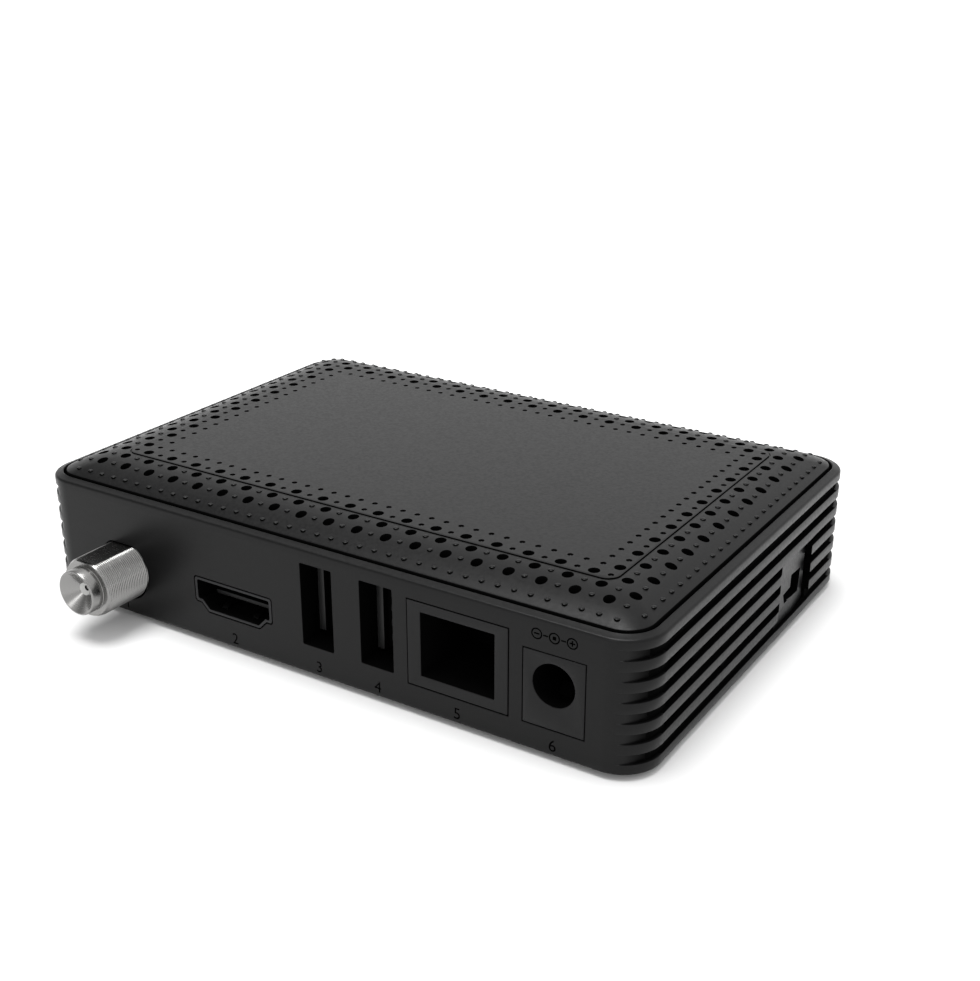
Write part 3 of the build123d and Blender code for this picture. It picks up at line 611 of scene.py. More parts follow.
def copies(tree, points, piece, chosen=True):
    """The piece at each chosen point."""
    node = add_node(
        tree, "GeometryNodeInstanceOnPoints", Points=points, Selection=chosen, Instance=piece
    )
    return node.outputs[0]


def lattice(tree, size_x, size_y, columns, rows):
    """A level grid of points about the origin."""
    grid = add_node(
        tree,
        "GeometryNodeMeshGrid",
        Size_X=size_x,
        Size_Y=size_y,
        Vertices_X=columns,
        Vertices_Y=rows,
    )
    return grid.outputs["Mesh"]


# ---------------------------------------------------------------- finishes

# Painted shade: a black with almost no shine, for faces in hollows, holes and sockets.
PAINTED_SHADE_COLOUR = (0.001, 0.001, 0.001)
PAINTED_SHADE_SHINE = 0.02


def new_finish(name, base, roughness, metallic=0.0, specular=0.5, coat=0.0):
    """A material with a plain shader to build on."""
    finish = bpy.data.materials.new(name)
    finish.use_nodes = True
    shader = finish.node_tree.nodes["Principled BSDF"]
    shader.inputs["Base Color"].default_value = (*base, 1.0)
    shader.inputs["Roughness"].default_value = roughness
    shader.inputs["Metallic"].default_value = metallic
    shader.inputs["Specular IOR Level"].default_value = specular
    shader.inputs["Coat Weight"].default_value = coat
    finish.diffuse_color = (*base, 1.0)
    return finish


def shader_input(finish, name):
    """An input of the finish's shader."""
    return finish.node_tree.nodes["Principled BSDF"].inputs[name]


def on_piece(finish):
    """The place on the piece, for a texture that stays with it."""
    return finish.node_tree.nodes.new("ShaderNodeTexCoord").outputs["Object"]


def noise(finish, feature, detail=3.0, stretch=(1.0, 1.0, 1.0)):
    """Noise with features of a size in millimetres, fixed to the piece."""
    tree = finish.node_tree
    scaled = add_node(tree, "ShaderNodeMapping", Vector=on_piece(finish), Scale=stretch)
    texture = add_node(
        tree,
        "ShaderNodeTexNoise",
        Vector=scaled.outputs[0],
        Scale=1 / (feature * MM),
        Detail=detail,
    )
    return Value(texture.outputs["Fac"])


def blend_colours(finish, share_of_second, first, second):
    """A mix of two colours that feeds the finish's base colour."""
    mix = add_node(
        finish.node_tree,
        "ShaderNodeMix",
        {"data_type": "RGBA"},
        Factor=share_of_second,
        A=first,
        B=second,
    )
    feed(shader_input(finish, "Base Color"), mix.outputs["Result"])


def vary_colour(finish, source, base, spread):
    """Lets the base colour drift by a share either way."""
    darker, lighter = (
        (*[value * (1 + drift) for value in base], 1.0) for drift in (-spread, spread)
    )
    blend_colours(finish, source, darker, lighter)


def vary_roughness(finish, source, low, high):
    """Lets the roughness drift between two values."""
    feed(shader_input(finish, "Roughness"), source.mapped(0.3, 0.7, low, high))


def add_bump(finish, source, strength, depth):
    """Raises the surface by the texture, by at most a depth in millimetres."""
    bump = add_node(
        finish.node_tree, "ShaderNodeBump", Strength=strength, Distance=depth * MM, Height=source
    )
    feed(shader_input(finish, "Normal"), bump.outputs["Normal"])


def dim_by_points(finish):
    """Paints shade: takes the finish's colour and shine away where the piece's points carry painted
    shade.
    """
    attribute = finish.node_tree.nodes.new("ShaderNodeAttribute")
    attribute.attribute_name = "painted_shade_share"
    painted_shade_share = Value(attribute.outputs["Fac"])
    plain = shader_input(finish, "Base Color").links[0].from_socket
    blend_colours(finish, painted_shade_share, plain, (*PAINTED_SHADE_COLOUR, 1.0))
    shine = shader_input(finish, "Specular IOR Level")
    feed(shine, painted_shade_share.mapped(0.0, 1.0, shine.default_value, PAINTED_SHADE_SHINE))


def moulded_case(settings):
    """Dark grey ABS with a fine moulded grain, and painted shade where the piece's points carry it.
    """
    base = tuple(settings.case_colour)
    middle, drift = settings.case_roughness, 0.06
    finish = new_finish("moulded_case", base, middle, specular=0.155)
    vary_colour(finish, noise(finish, 9.0), base, 0.06)
    vary_roughness(finish, noise(finish, 0.5), middle - drift, middle + drift)
    add_bump(finish, noise(finish, 0.16, detail=2.0), settings.grain, 0.05)
    # Painted shade where the piece's points carry it.
    dim_by_points(finish)
    return finish


def plated_metal(name, base, low, high, stretch):
    """Plated or bare metal with fine marks that run along or around an axis."""
    finish = new_finish(name, base, low, metallic=1.0)
    vary_colour(finish, noise(finish, 4.0), base, 0.04)
    vary_roughness(finish, noise(finish, 0.35, stretch=stretch), low, high)
    add_bump(finish, noise(finish, 0.12, detail=1.0, stretch=stretch), 0.02, 0.02)
    return finish


def plain_moulding(name, base, low, high, feature=0.3, specular=0.5, spread=0.08, bump=0.1):
    """A small moulded piece: slight drift in colour and gloss over a fine texture."""
    finish = new_finish(name, base, low, specular=specular)
    vary_colour(finish, noise(finish, 3.0), base, spread)
    vary_roughness(finish, noise(finish, feature), low, high)
    add_bump(finish, noise(finish, feature, detail=2.0), bump, 0.05)
    return finish


def board_laminate():
    """Green solder mask with a faint weave and copper tracks under it."""
    base = (0.012, 0.075, 0.03)
    finish = new_finish("board_laminate", base, 0.32, coat=0.3)
    tracks = add_node(
        finish.node_tree,
        "ShaderNodeTexBrick",
        Vector=on_piece(finish),
        Scale=1 / (12 * MM),
        Mortar_Size=0.03,
        Color1=(*base, 1.0),
        Color2=(0.010, 0.060, 0.026, 1.0),
        Mortar=(0.03, 0.13, 0.05, 1.0),
    )
    feed(shader_input(finish, "Base Color"), tracks.outputs["Color"])
    vary_roughness(finish, noise(finish, 0.8), 0.26, 0.4)
    add_bump(finish, noise(finish, 0.5, stretch=(1.0, 6.0, 1.0)), 0.1, 0.03)
    return finish


def smoked_acrylic():
    """Dark, glossy, faintly see-through acrylic."""
    base = (0.012, 0.010, 0.012)
    finish = new_finish("smoked_acrylic", base, 0.06, coat=0.2)
    vary_colour(finish, noise(finish, 12.0), base, 0.05)
    vary_roughness(finish, noise(finish, 1.5), 0.04, 0.09)
    return finish


# Stretch of a metal's marks, by the way that they run.
EVEN = (1.0, 1.0, 1.0)
ALONG_X = (0.3, 6.0, 6.0)
ALONG_Y = (6.0, 0.3, 6.0)
AROUND_Y = (0.25, 9.0, 0.25)
AROUND_Z = (1.0, 1.0, 8.0)

# Metals by slot: name, colour, least and most roughness, stretch of the marks.
METALS = {
    "screw_steel": ("screw_steel", (0.32, 0.32, 0.33), 0.3, 0.42, EVEN),
    "tin_plate": ("tin_plate", (0.26, 0.26, 0.26), 0.3, 0.42, ALONG_X),
    # The dark plate is also used as painted shade on contacts and pins deep in the sockets.
    "dark_plate_and_painted_shade": ("dark_plate_and_painted_shade", (0.032, 0.032, 0.033), 0.3, 0.42, ALONG_X),
    "gold_contact": ("gold_contact", (0.83, 0.61, 0.27), 0.16, 0.28, ALONG_X),
    "aluminium": ("extruded_aluminium", (0.70, 0.71, 0.72), 0.3, 0.45, ALONG_Y),
    "capacitor_can": ("capacitor_can", (0.55, 0.56, 0.6), 0.25, 0.4, AROUND_Z),
}

# Mouldings by slot: name, colour, least and most roughness, and where they aren't the usual
# ones, size of the texture, shine, drift in colour and strength of the texture.
MOULDINGS = {
    "rubber": ("foot_rubber", (0.018, 0.018, 0.018), 0.75, 0.9, 0.25, 0.3, 0.1, 0.25),
    "socket_plastic": (
        "socket_moulding", (0.007, 0.007, 0.0072), 0.4, 0.5, 0.3, 0.17, 0.06, 0.06
    ),
    "tongue_plastic": ("tongue_moulding", (0.008, 0.008, 0.008), 0.4, 0.5, 0.4, 0.3),
    "white_plastic": ("insulator_moulding", (0.5, 0.5, 0.49), 0.35, 0.45, 0.5),
    "chip_package": ("chip_package", (0.022, 0.022, 0.024), 0.5, 0.65, 0.15, 0.4, 0.1, 0.2),
    "thermal_pad": ("thermal_pad", (0.35, 0.37, 0.42), 0.7, 0.85, 0.6),
    "ferrite": ("ferrite_block", (0.05, 0.05, 0.052), 0.55, 0.7, 0.2, 0.4, 0.15, 0.3),
    "display_face": ("display_face", (0.015, 0.016, 0.018), 0.15, 0.25, 0.8),
    # Painted shade: a black finish for faces deep in grooves, holes and sockets.
    "shade_black": ("painted_shade_black", PAINTED_SHADE_COLOUR, 0.85, 0.95, 0.3, PAINTED_SHADE_SHINE),
    "lamp_resin": ("lamp_resin", (0.55, 0.09, 0.07), 0.12, 0.2, 0.8),
}


def make_finishes(settings):
    """Every finish, by the name of the record's material slot that it fills."""
    finishes = {slot: plated_metal(*look) for slot, look in METALS.items()}
    finishes |= {slot: plain_moulding(*look) for slot, look in MOULDINGS.items()}
    plating = tuple(settings.metal_colour)
    return finishes | {
        "case_plastic": moulded_case(settings),
        "nickel": plated_metal("nickel_plate", plating, 0.2, 0.28, AROUND_Y),
        "board_laminate": board_laminate(),
        "smoked_acrylic": smoked_acrylic(),
    }


FINISHES = {}


def finish_for(slot):
    """The finish of a material slot, made on first use."""
    if not FINISHES:
        FINISHES.update(make_finishes(bpy.context.scene.receiver_finish))
    return FINISHES[slot]


# ---------------------------------------------------------------- repeated shapes


def cover_tree():
    """Rings of holes, bumps and dimples laid on the blank cover by a lattice and a ray."""
    tree, given = new_tree(
        "Cover perforations",
        (
            "Pitch X", "Pitch Y", "Half Columns", "Half Rows", "Hole Rings", "Centre Y",
            "Hole Radius", "Hole Edge", "Dot Radius", "Bump Height", "Dimple Depth",
        ),
    )
    blank = given("Geometry")
    columns = given("Half Columns") + given("Hole Rings")
    rows = given("Half Rows") + given("Hole Rings")
    grid = lattice(
        tree,
        columns * 2.0 * given("Pitch X"),
        rows * 2.0 * given("Pitch Y"),
        columns * 2.0 + 1.0,
        rows * 2.0 + 1.0,
    )
    x, y, z = position(tree)
    over_cover = 60.0
    ray = add_node(
        tree,
        "GeometryNodeRaycast",
        Target_Geometry=blank,
        Source_Position=vector(tree, x, y + given("Centre Y"), over_cover),
        Ray_Direction=(0.0, 0.0, -1.0),
        Ray_Length=2 * over_cover,
    )
    landed = points_at(tree, grid, ray.outputs["Hit Position"])

    # Ring number of a lattice point: 0 is the first ring with holes, -1 the dimples inside it.
    column = abs(x / given("Pitch X")).reckon("ROUND")
    row = abs((y - given("Centre Y")) / given("Pitch Y")).reckon("ROUND")
    ring = (column - given("Half Columns")).reckon("MAXIMUM", row - given("Half Rows"))
    odd = (column + row).reckon("MODULO", 2.0)
    end_of_holes = given("Hole Rings") - 0.5
    in_hole_rings = (ring > -0.5) * (ring < end_of_holes)
    not_corner = column + row < columns + rows - 0.5
    outermost = (ring > end_of_holes) * not_corner
    innermost = ring.reckon("COMPARE", -1.0, 0.25)
    first = ring.reckon("COMPARE", 0.0, 0.25)
    between = in_hole_rings * odd

    # Hole cutter: a cylinder whose top opens out, so the rim of each hole is broken.
    drill_length, spread_at_top = 12.0, 3.0
    drill = add_node(
        tree,
        "GeometryNodeMeshCylinder",
        {"fill_type": "NGON"},
        Vertices=24,
        Side_Segments=2,
        Radius=given("Hole Radius"),
        Depth=drill_length,
    )
    flare = (z > 1.0) * spread_at_top / given("Hole Radius") + 1.0
    flared = vector(tree, x * flare, y * flare, z - given("Hole Edge"))
    cutter = points_at(tree, drill.outputs["Mesh"], flared)
    drills = copies(tree, landed, cutter, in_hole_rings * (1.0 - odd))

    # A bump and a dimple are flattened balls that lie half in the cover's surface.
    ball = add_node(
        tree, "GeometryNodeMeshUVSphere", Segments=14, Rings=9, Radius=given("Dot Radius")
    )

    def dots(chosen, height):
        """Balls flattened to a height over their middles, at the chosen points."""
        scale = vector(tree, 1.0, 1.0, height / given("Dot Radius"))
        flattened = add_node(
            tree, "GeometryNodeTransform", Geometry=ball.outputs["Mesh"], Scale=scale
        )
        return copies(tree, landed, flattened.outputs[0], chosen)

    def combine(operation, mesh, pieces):
        """The mesh with the pieces cut out or added."""
        whole = add_node(tree, "GeometryNodeRealizeInstances", Geometry=pieces)
        node = tree.nodes.new("GeometryNodeMeshBoolean")
        node.operation = operation
        node.solver = "MANIFOLD"
        feed(node.inputs[0 if operation == "DIFFERENCE" else 1], mesh)
        feed(node.inputs[1], whole.outputs[0])
        return node.outputs[0]

    dimples = dots(innermost + between * first, given("Dimple Depth"))
    bumps = dots(between + outermost - between * first, given("Bump Height"))
    perforated = combine("DIFFERENCE", blank, drills)
    dimpled = combine("DIFFERENCE", perforated, dimples)
    return end_tree(tree, given, combine("UNION", dimpled, bumps))


def vent_tree():
    """Slots in columns and rows on one end wall, as solids to cut with."""
    tree, given = new_tree(
        "Vent slots",
        (
            "Columns", "Rows", "Pitch Y", "Pitch Z", "Centre X", "Centre Y", "Centre Z",
            "Length", "Height", "Depth", "Skip From", "Skip To",
        ),
    )
    grid = lattice(
        tree,
        (given("Columns") - 1.0) * given("Pitch Y"),
        (given("Rows") - 1.0) * given("Pitch Z"),
        given("Columns"),
        given("Rows"),
    )
    x, y, z = position(tree)
    upright = vector(tree, given("Centre X"), x + given("Centre Y"), y + given("Centre Z"))
    low = z < given("Centre Z") + given("Pitch Z")
    skipped = (y > given("Skip From")) * (y < given("Skip To")) * low
    box = vector(tree, given("Depth"), given("Length"), given("Height"))
    slot = add_node(tree, "GeometryNodeMeshCube", Size=box)
    placed = points_at(tree, grid, upright)
    slots = copies(tree, placed, slot.outputs["Mesh"], 1.0 - skipped)
    return end_tree(tree, given, slots)


def thread_tree():
    """A turned barrel along Y with a helical thread and a flat along its top."""
    tree, given = new_tree(
        "Threaded barrel",
        (
            "Radius", "Start", "End", "Pitch", "Depth", "Flat Height",
            "Centre X", "Centre Y", "Centre Z",
        ),
    )
    span = given("End") - given("Start")
    steps_per_turn = 8.0
    barrel = add_node(
        tree,
        "GeometryNodeMeshCylinder",
        {"fill_type": "NGON"},
        Vertices=96,
        Side_Segments=(span / given("Pitch") * steps_per_turn).reckon("CEIL"),
        Radius=given("Radius"),
        Depth=span,
    )
    x, y, z = position(tree)
    turn = y.reckon("ARCTAN2", x) / (2 * math.pi)
    phase = (z / given("Pitch") + turn).reckon("FRACT")
    # Flanks rise and fall evenly, with a narrow land at the crest and at the root.
    land = 0.12
    valley = (abs(phase - 0.5) * 2.0).mapped(land, 1 - land)
    run_out = (span * 0.5 - abs(z)).mapped(0.0, given("Pitch"), 1.0, 0.0)
    cut = valley.reckon("MAXIMUM", run_out)
    ratio = (given("Radius") - given("Depth") * cut) / given("Radius")
    threaded = vector(
        tree,
        given("Centre X") - x * ratio,
        given("Centre Y") + (z + given("Start") + span * 0.5),
        given("Centre Z") + (y * ratio).reckon("MINIMUM", given("Flat Height")),
    )
    both = tree.nodes.new("GeometryNodeJoinGeometry")
    feed(both.inputs[0], points_at(tree, barrel.outputs["Mesh"], threaded))
    feed(both.inputs[0], given("Geometry"))
    return end_tree(tree, given, both.outputs[0])


def corner_tree():
    """The piece at the four corners of a rectangle."""
    tree, given = new_tree("Four corners", ("Spread X", "Spread Y", "Centre Y", "Height"))
    grid = lattice(tree, given("Spread X"), given("Spread Y"), 2, 2)
    x, y, _ = position(tree)
    placed = points_at(tree, grid, vector(tree, x, y + given("Centre Y"), given("Height")))
    return end_tree(tree, given, copies(tree, placed, given("Geometry")))


# ---------------------------------------------------------------- socket places

# Middle of each socket, right of the socket wall's middle and above the case's underside.
AERIAL = (-36.25, 7.35)
VIDEO = (-14.0, 7.4)
DATA = ((1.95, 11.05), (12.4, 11.05))
NETWORK = (25.7, 10.375)
POWER = (40.6, 10.5)
POWER_PLATE = (40.6, 9.4)
LABEL_HEIGHT = 1.45
POLARITY_HEIGHT = 17.45
VIDEO_HALF_HEIGHT = 2.225

# Width and height of the plain openings.
DATA_HOLE = (5.6, 12.9)
NETWORK_HOLE = (16.32, 13.27)
POWER_HOLE = (9.46, 11.26)
WINDOW_HOLE = (64.3, 11.3)

# The pad's ends from the socket wall, its top over the underside and the grooves that it stops.
PAD_BACK = 45.9
PAD_FRONT = 58.7
PAD_TOP = 12.1
PAD_GROOVES = (1, 2, 3)


# ---------------------------------------------------------------- housing


def housing_rings(size):
    """The housing's rings, from the middle of its inner floor, over the rim, to its underside."""
    corner, depth, edge = size.corner_radius, size.groove_depth, size.groove_edge
    # A groove's floor turns on a wider arc than the corner, so it runs out part of the way round.
    floor_corner = corner + 1.0
    overrun = 0.7
    # The grooves that the pad stops end square, within the width of a hair.
    stop_back = CASE_DEPTH / 2 - PAD_BACK
    stop_front = CASE_DEPTH / 2 - PAD_FRONT
    hair = 2e-6
    outline = rounded_rectangle(
        CASE_WIDTH,
        CASE_DEPTH,
        corner,
        corner_steps=26,
        stops=(stop_front - hair, stop_front, stop_back, stop_back + hair),
    )
    shift = Vector((floor_corner - corner + depth, floor_corner - corner - overrun))

    def reach(point, out, groove):
        """Deepest that a groove goes at a point of the outline."""
        if abs(out.x) < 1e-6:
            return 0.0
        if abs(out.y) < 1e-6:
            on_pad = stop_front - hair / 2 < point.y < stop_back + hair / 2
            return 0.0 if out.x < 0 and on_pad and groove in PAD_GROOVES else depth
        along = shift.dot(Vector((abs(out.x), abs(out.y))))
        to_floor = -along + math.sqrt(along**2 - shift.length_squared + floor_corner**2)
        return min(max(corner - to_floor, 0.0), depth)

    def ring(height, inset, groove=None):
        """One ring of the outer skin; in a groove the inset stays within the groove's reach."""
        points = []
        for point, out in outline:
            drawn_in = inset if groove is None else min(inset, reach(point, out, groove))
            place = point - out * drawn_in
            points.append(on_level(place.x, place.y, height))
        return points

    rim, rim_top = size.rim_thickness, RIM_HEIGHT - size.rim_drop
    inner_edge, softening = 0.18, 0.05
    rings = [
        ring(size.floor, size.wall),
        ring(size.seat_height, size.wall),
        ring(size.seat_height, rim),
        ring(rim_top - inner_edge, rim),
        ring(rim_top - softening, rim - softening),
        ring(rim_top, rim - inner_edge),
    ]
    shoulder = rim_top - size.rim_slope
    steps = 5
    for step in range(steps + 1):
        angle = math.pi / 2 * (1 - step / steps)
        fall = size.rim_rounding * (1 - math.sin(angle))
        rings.append(ring(shoulder - fall, size.rim_rounding * (1 - math.cos(angle))))

    # Half of a groove's section: how far out of the groove, up or down, and how deep.
    section = (
        (edge, 0.0),
        (0.3 * edge, 0.3 * edge),
        (0.0, edge),
        (-0.02, depth - 0.06),
        (-0.07, depth),
    )
    for groove in reversed(range(size.groove_count)):
        bottom = size.first_groove + groove * size.groove_pitch
        top = bottom + size.groove_height
        rings += [ring(top + away, inset, groove) for away, inset in section]
        rings += [ring(bottom - away, inset, groove) for away, inset in reversed(section)]
    return rings + [ring(0.3, 0.0), ring(0.09, 0.09), ring(0.0, 0.3)]


def video_outline(grown=0.0):
    """Outline of the video socket's mouth, grown outwards, on the socket wall."""
    right, up = VIDEO
    half_width, half_ledge, half_floor, ledge = 6.925, 6.1, 4.75, -0.85
    side = (
        (half_width, VIDEO_HALF_HEIGHT),
        (half_width, ledge),
        (half_ledge, ledge),
        (half_floor, -VIDEO_HALF_HEIGHT),
    )
    corners = [Vector((right - x, up + y)) for x, y in side]
    corners += [Vector((right + x, up + y)) for x, y in reversed(side)]
    return round_corners(offset_polygon(corners, grown), 0.3 + 0.3 * grown)


def aerial_outline():
    """The hole for the aerial connector: round, with a flat along the top."""
    right, up = AERIAL
    radius, flat = 5.0, 4.4
    return [Vector((p.x, min(p.y, up + flat))) for p in circle(right, up, radius, 72)]


def number_cutter(number, right):
    """A raised numeral to sink into the socket wall under a socket."""
    height, sunk = 2.5, 0.25
    text = bpy.data.curves.new("numeral", "FONT")
    text.body = str(number)
    text.size = height
    text.align_x = "CENTER"
    text.align_y = "CENTER"
    text.extrude = sunk
    holder = add_object("numeral", text)
    mesh = evaluated_mesh(holder)
    bpy.data.objects.remove(holder)
    up = FOOT_HEIGHT + LABEL_HEIGHT
    mesh.transform(
        Matrix(((-1, 0, 0, -right), (0, 0, 1, HOUSING_HIGH.y), (0, 1, 0, up), (0, 0, 0, 1)))
    )
    shape = bmesh.new()
    shape.from_mesh(mesh)
    bmesh.ops.remove_doubles(shape, verts=shape.verts, dist=1e-4)
    bmesh.ops.recalc_face_normals(shape, faces=shape.faces)
    return object_from("numeral", shape)


def ring_cutter(right, up, radius, stroke, sunk):
    """A ring to sink into the socket wall."""
    rings = [
        drawn(on_rear, circle(right, up, radius + side * stroke / 2, 32), out)
        for side, out in ((-1, -sunk), (-1, sunk), (1, sunk), (1, -sunk))
    ]
    return loop_skin("mark", rings)


def bar_cutter(right, up, width, height, sunk):
    """A bar to sink into the socket wall."""
    return opening_cutter("mark", rectangle(right, up, width, height), on_rear, sunk, 0.02)


def cut_pad(housing, size):
    """Sinks the pad towards the front and opens the groove below it up to its lower edge."""
    start, depth, overrun, outside = 45.0, 1.1, 3, 1.5
    wedge = [
        Vector(corner)
        for corner in (
            (start - overrun, outside),
            (start - overrun, overrun * depth / (PAD_FRONT - start)),
            (PAD_FRONT, -depth),
            (PAD_FRONT, outside),
        )
    ]
    rings = [[on_pad_end(p.x, up, p.y) for p in wedge] for up in (1.52, PAD_TOP)]
    carve(housing, skin("pad", rings))
    apron = rectangle((PAD_BACK + PAD_FRONT) / 2, 3.0, PAD_FRONT - PAD_BACK, 3.0)
    carve(housing, slab("apron", on_pad_end, apron, -size.groove_depth, 1.0))


def cut_openings(housing, size):
    """Cuts the openings for the sockets and the front window."""
    through = 2 * size.wall
    window_low, window_high = node_box("front_window")
    window_middle = (window_low.z + window_high.z) / 2 - FOOT_HEIGHT
    window = round_corners(rectangle(0, window_middle, *WINDOW_HOLE), 1.15)
    data = [round_corners(rectangle(*place, *DATA_HOLE), 0.2, 3) for place in DATA]
    openings = [
        opening_cutter("opening", outline, wall, through, edge)
        for outline, wall, edge in (
            (aerial_outline(), on_rear, 0.08),
            (video_outline(0.62), on_rear, 0.06),
            (rectangle(*NETWORK, *NETWORK_HOLE), on_rear, 0.06),
            (rectangle(*POWER_PLATE, *POWER_HOLE), on_rear, 0.06),
            (data[0], on_rear, 0.05),
            (data[1], on_rear, 0.05),
            (window, on_front, 0.15),
        )
    ]
    side = ((47.8, 6.6), (48.7, 4.75), (56.0, 3.8), (56.6, 7.6), (51.6, 8.4), (51.4, 6.4))
    outline = [Vector(corner) for corner in side]
    openings.append(slab("opening", on_pad_end, outline, -through, 0.5))
    carve(housing, joined("openings", openings))


def cut_vents(housing, size):
    """Cuts the vent slots through both end walls; the pad has none."""
    tree = vent_tree()
    pitch = size.groove_pitch
    columns, rows, first_row, play = 6, 4, 1, 0.04
    middle_row = first_row + (rows - 1) / 2
    middle_up = FOOT_HEIGHT + size.first_groove + middle_row * pitch + size.groove_height / 2
    for side in (-1, 1):
        # The tree makes the slots, and the slab only carries it.
        slots = slab("vents", on_level, rectangle(0, 0, 1, 1), 0, 0)
        sizes = {
            "Columns": columns,
            "Rows": rows,
            "Pitch Y": size.vent_pitch,
            "Pitch Z": pitch,
            "Centre X": side * (CASE_WIDTH / 2 - size.wall / 2),
            "Centre Y": CASE_CENTRE_Y,
            "Centre Z": middle_up,
            "Length": size.vent_length,
            "Height": size.groove_height - play,
            "Depth": 2 * size.wall,
            "Skip From": HOUSING_HIGH.y - PAD_FRONT if side < 0 else 0.0,
            "Skip To": HOUSING_HIGH.y - PAD_BACK if side < 0 else 0.0,
        }
        carve(housing, run_tree(slots, tree, sizes, "case_plastic"))


def cut_marks(housing):
    """Sinks a polarity sign over the power socket and a number under each socket."""
    middle, up = POWER[0], POLARITY_HEIGHT
    spacing, radius, stroke, sunk = 2.6, 0.72, 0.2, 0.22
    bars = (
        (0.0, 0.5, 0.5),
        (-spacing, 0.8, stroke),
        (spacing, 0.8, stroke),
        (-spacing / 2, 0.7, stroke),
        (spacing / 2, 0.7, stroke),
    )
    marks = [
        ring_cutter(middle + x, up, radius, stroke, sunk) for x in (-spacing, 0.0, spacing)
    ]
    marks += [bar_cutter(middle + x, up, width, height, sunk) for x, width, height in bars]
    carve(housing, joined("marks", marks))
    carve(housing, bar_cutter(middle + spacing, up, stroke, 0.8, sunk))
    for number, place in enumerate((AERIAL, VIDEO, *DATA, NETWORK, POWER), start=1):
        carve(housing, number_cutter(number, place[0]), "EXACT")


def darken_grooves(housing, size):
    """Paints shade in the grooves' ends, and paints black shade on the faces in the grooves and in
    the openings.
    """
    corner, depth = size.corner_radius, size.groove_depth
    rim_top = RIM_HEIGHT - size.rim_drop
    lowest, under_rim, over_top_groove = 0.5, 0.6, 1.5
    deepest_pad, shallow = 1.2, 0.06
    # The painted shade of a groove's end starts where it is this deep, as a share of its full
    # depth.
    first_shaded, fully_shaded = 0.6 / 1.7, 1.6 / 1.7

    def run_out(place):
        """How much painted shade a groove carries at a place round a corner; nothing elsewhere."""
        in_grooves = lowest < place.z - FOOT_HEIGHT < rim_top - over_top_groove
        if min(past_corner(place, corner)) < -0.01 or not in_grooves:
            return 0.0
        share_of_depth = depth_inside(place, corner) / depth
        shaded = (share_of_depth - first_shaded) / (fully_shaded - first_shaded)
        return min(max(shaded, 0.0), 1.0)

    def inside(middle, out):
        """Whether a face lies in a straight groove, in an opening or within the walls, where shade
        is painted.
        """
        up = middle.z - FOOT_HEIGHT
        on_pad = (
            out.x < -0.9
            and middle.x < -CASE_WIDTH / 2 + deepest_pad
            and PAD_BACK < HOUSING_HIGH.y - middle.y < PAD_FRONT
            and up < PAD_TOP + 0.1
        )
        least = 0.95 * depth if min(past_corner(middle, corner)) > 0 else shallow
        deep = depth_inside(middle, corner) > least
        return lowest < up < rim_top - under_rim and deep and not on_pad

    # Painted shade: graded in the grooves' ends by the points, and black on the faces deep in the
    # grooves and openings.
    dim_points(housing, run_out)
    darken(housing, inside)


class RECEIVER_OT_housing(bpy.types.Operator):
    """Builds the lower housing with its grooves, vents, pad and openings"""

    bl_idname = "receiver.housing"
    bl_label = "Housing"

    def execute(self, context):
        """Builds the piece."""
        size = in_millimetres(context.scene.receiver_housing)
        housing = skin("housing", housing_rings(size))
        cut_pad(housing, size)
        cut_openings(housing, size)
        cut_vents(housing, size)
        cut_marks(housing)
        finish_piece(housing, "case_plastic", "lower_housing")
        # Painted shade in the grooves and openings.
        darken_grooves(housing, size)
        return {"FINISHED"}


# ---------------------------------------------------------------- other pieces


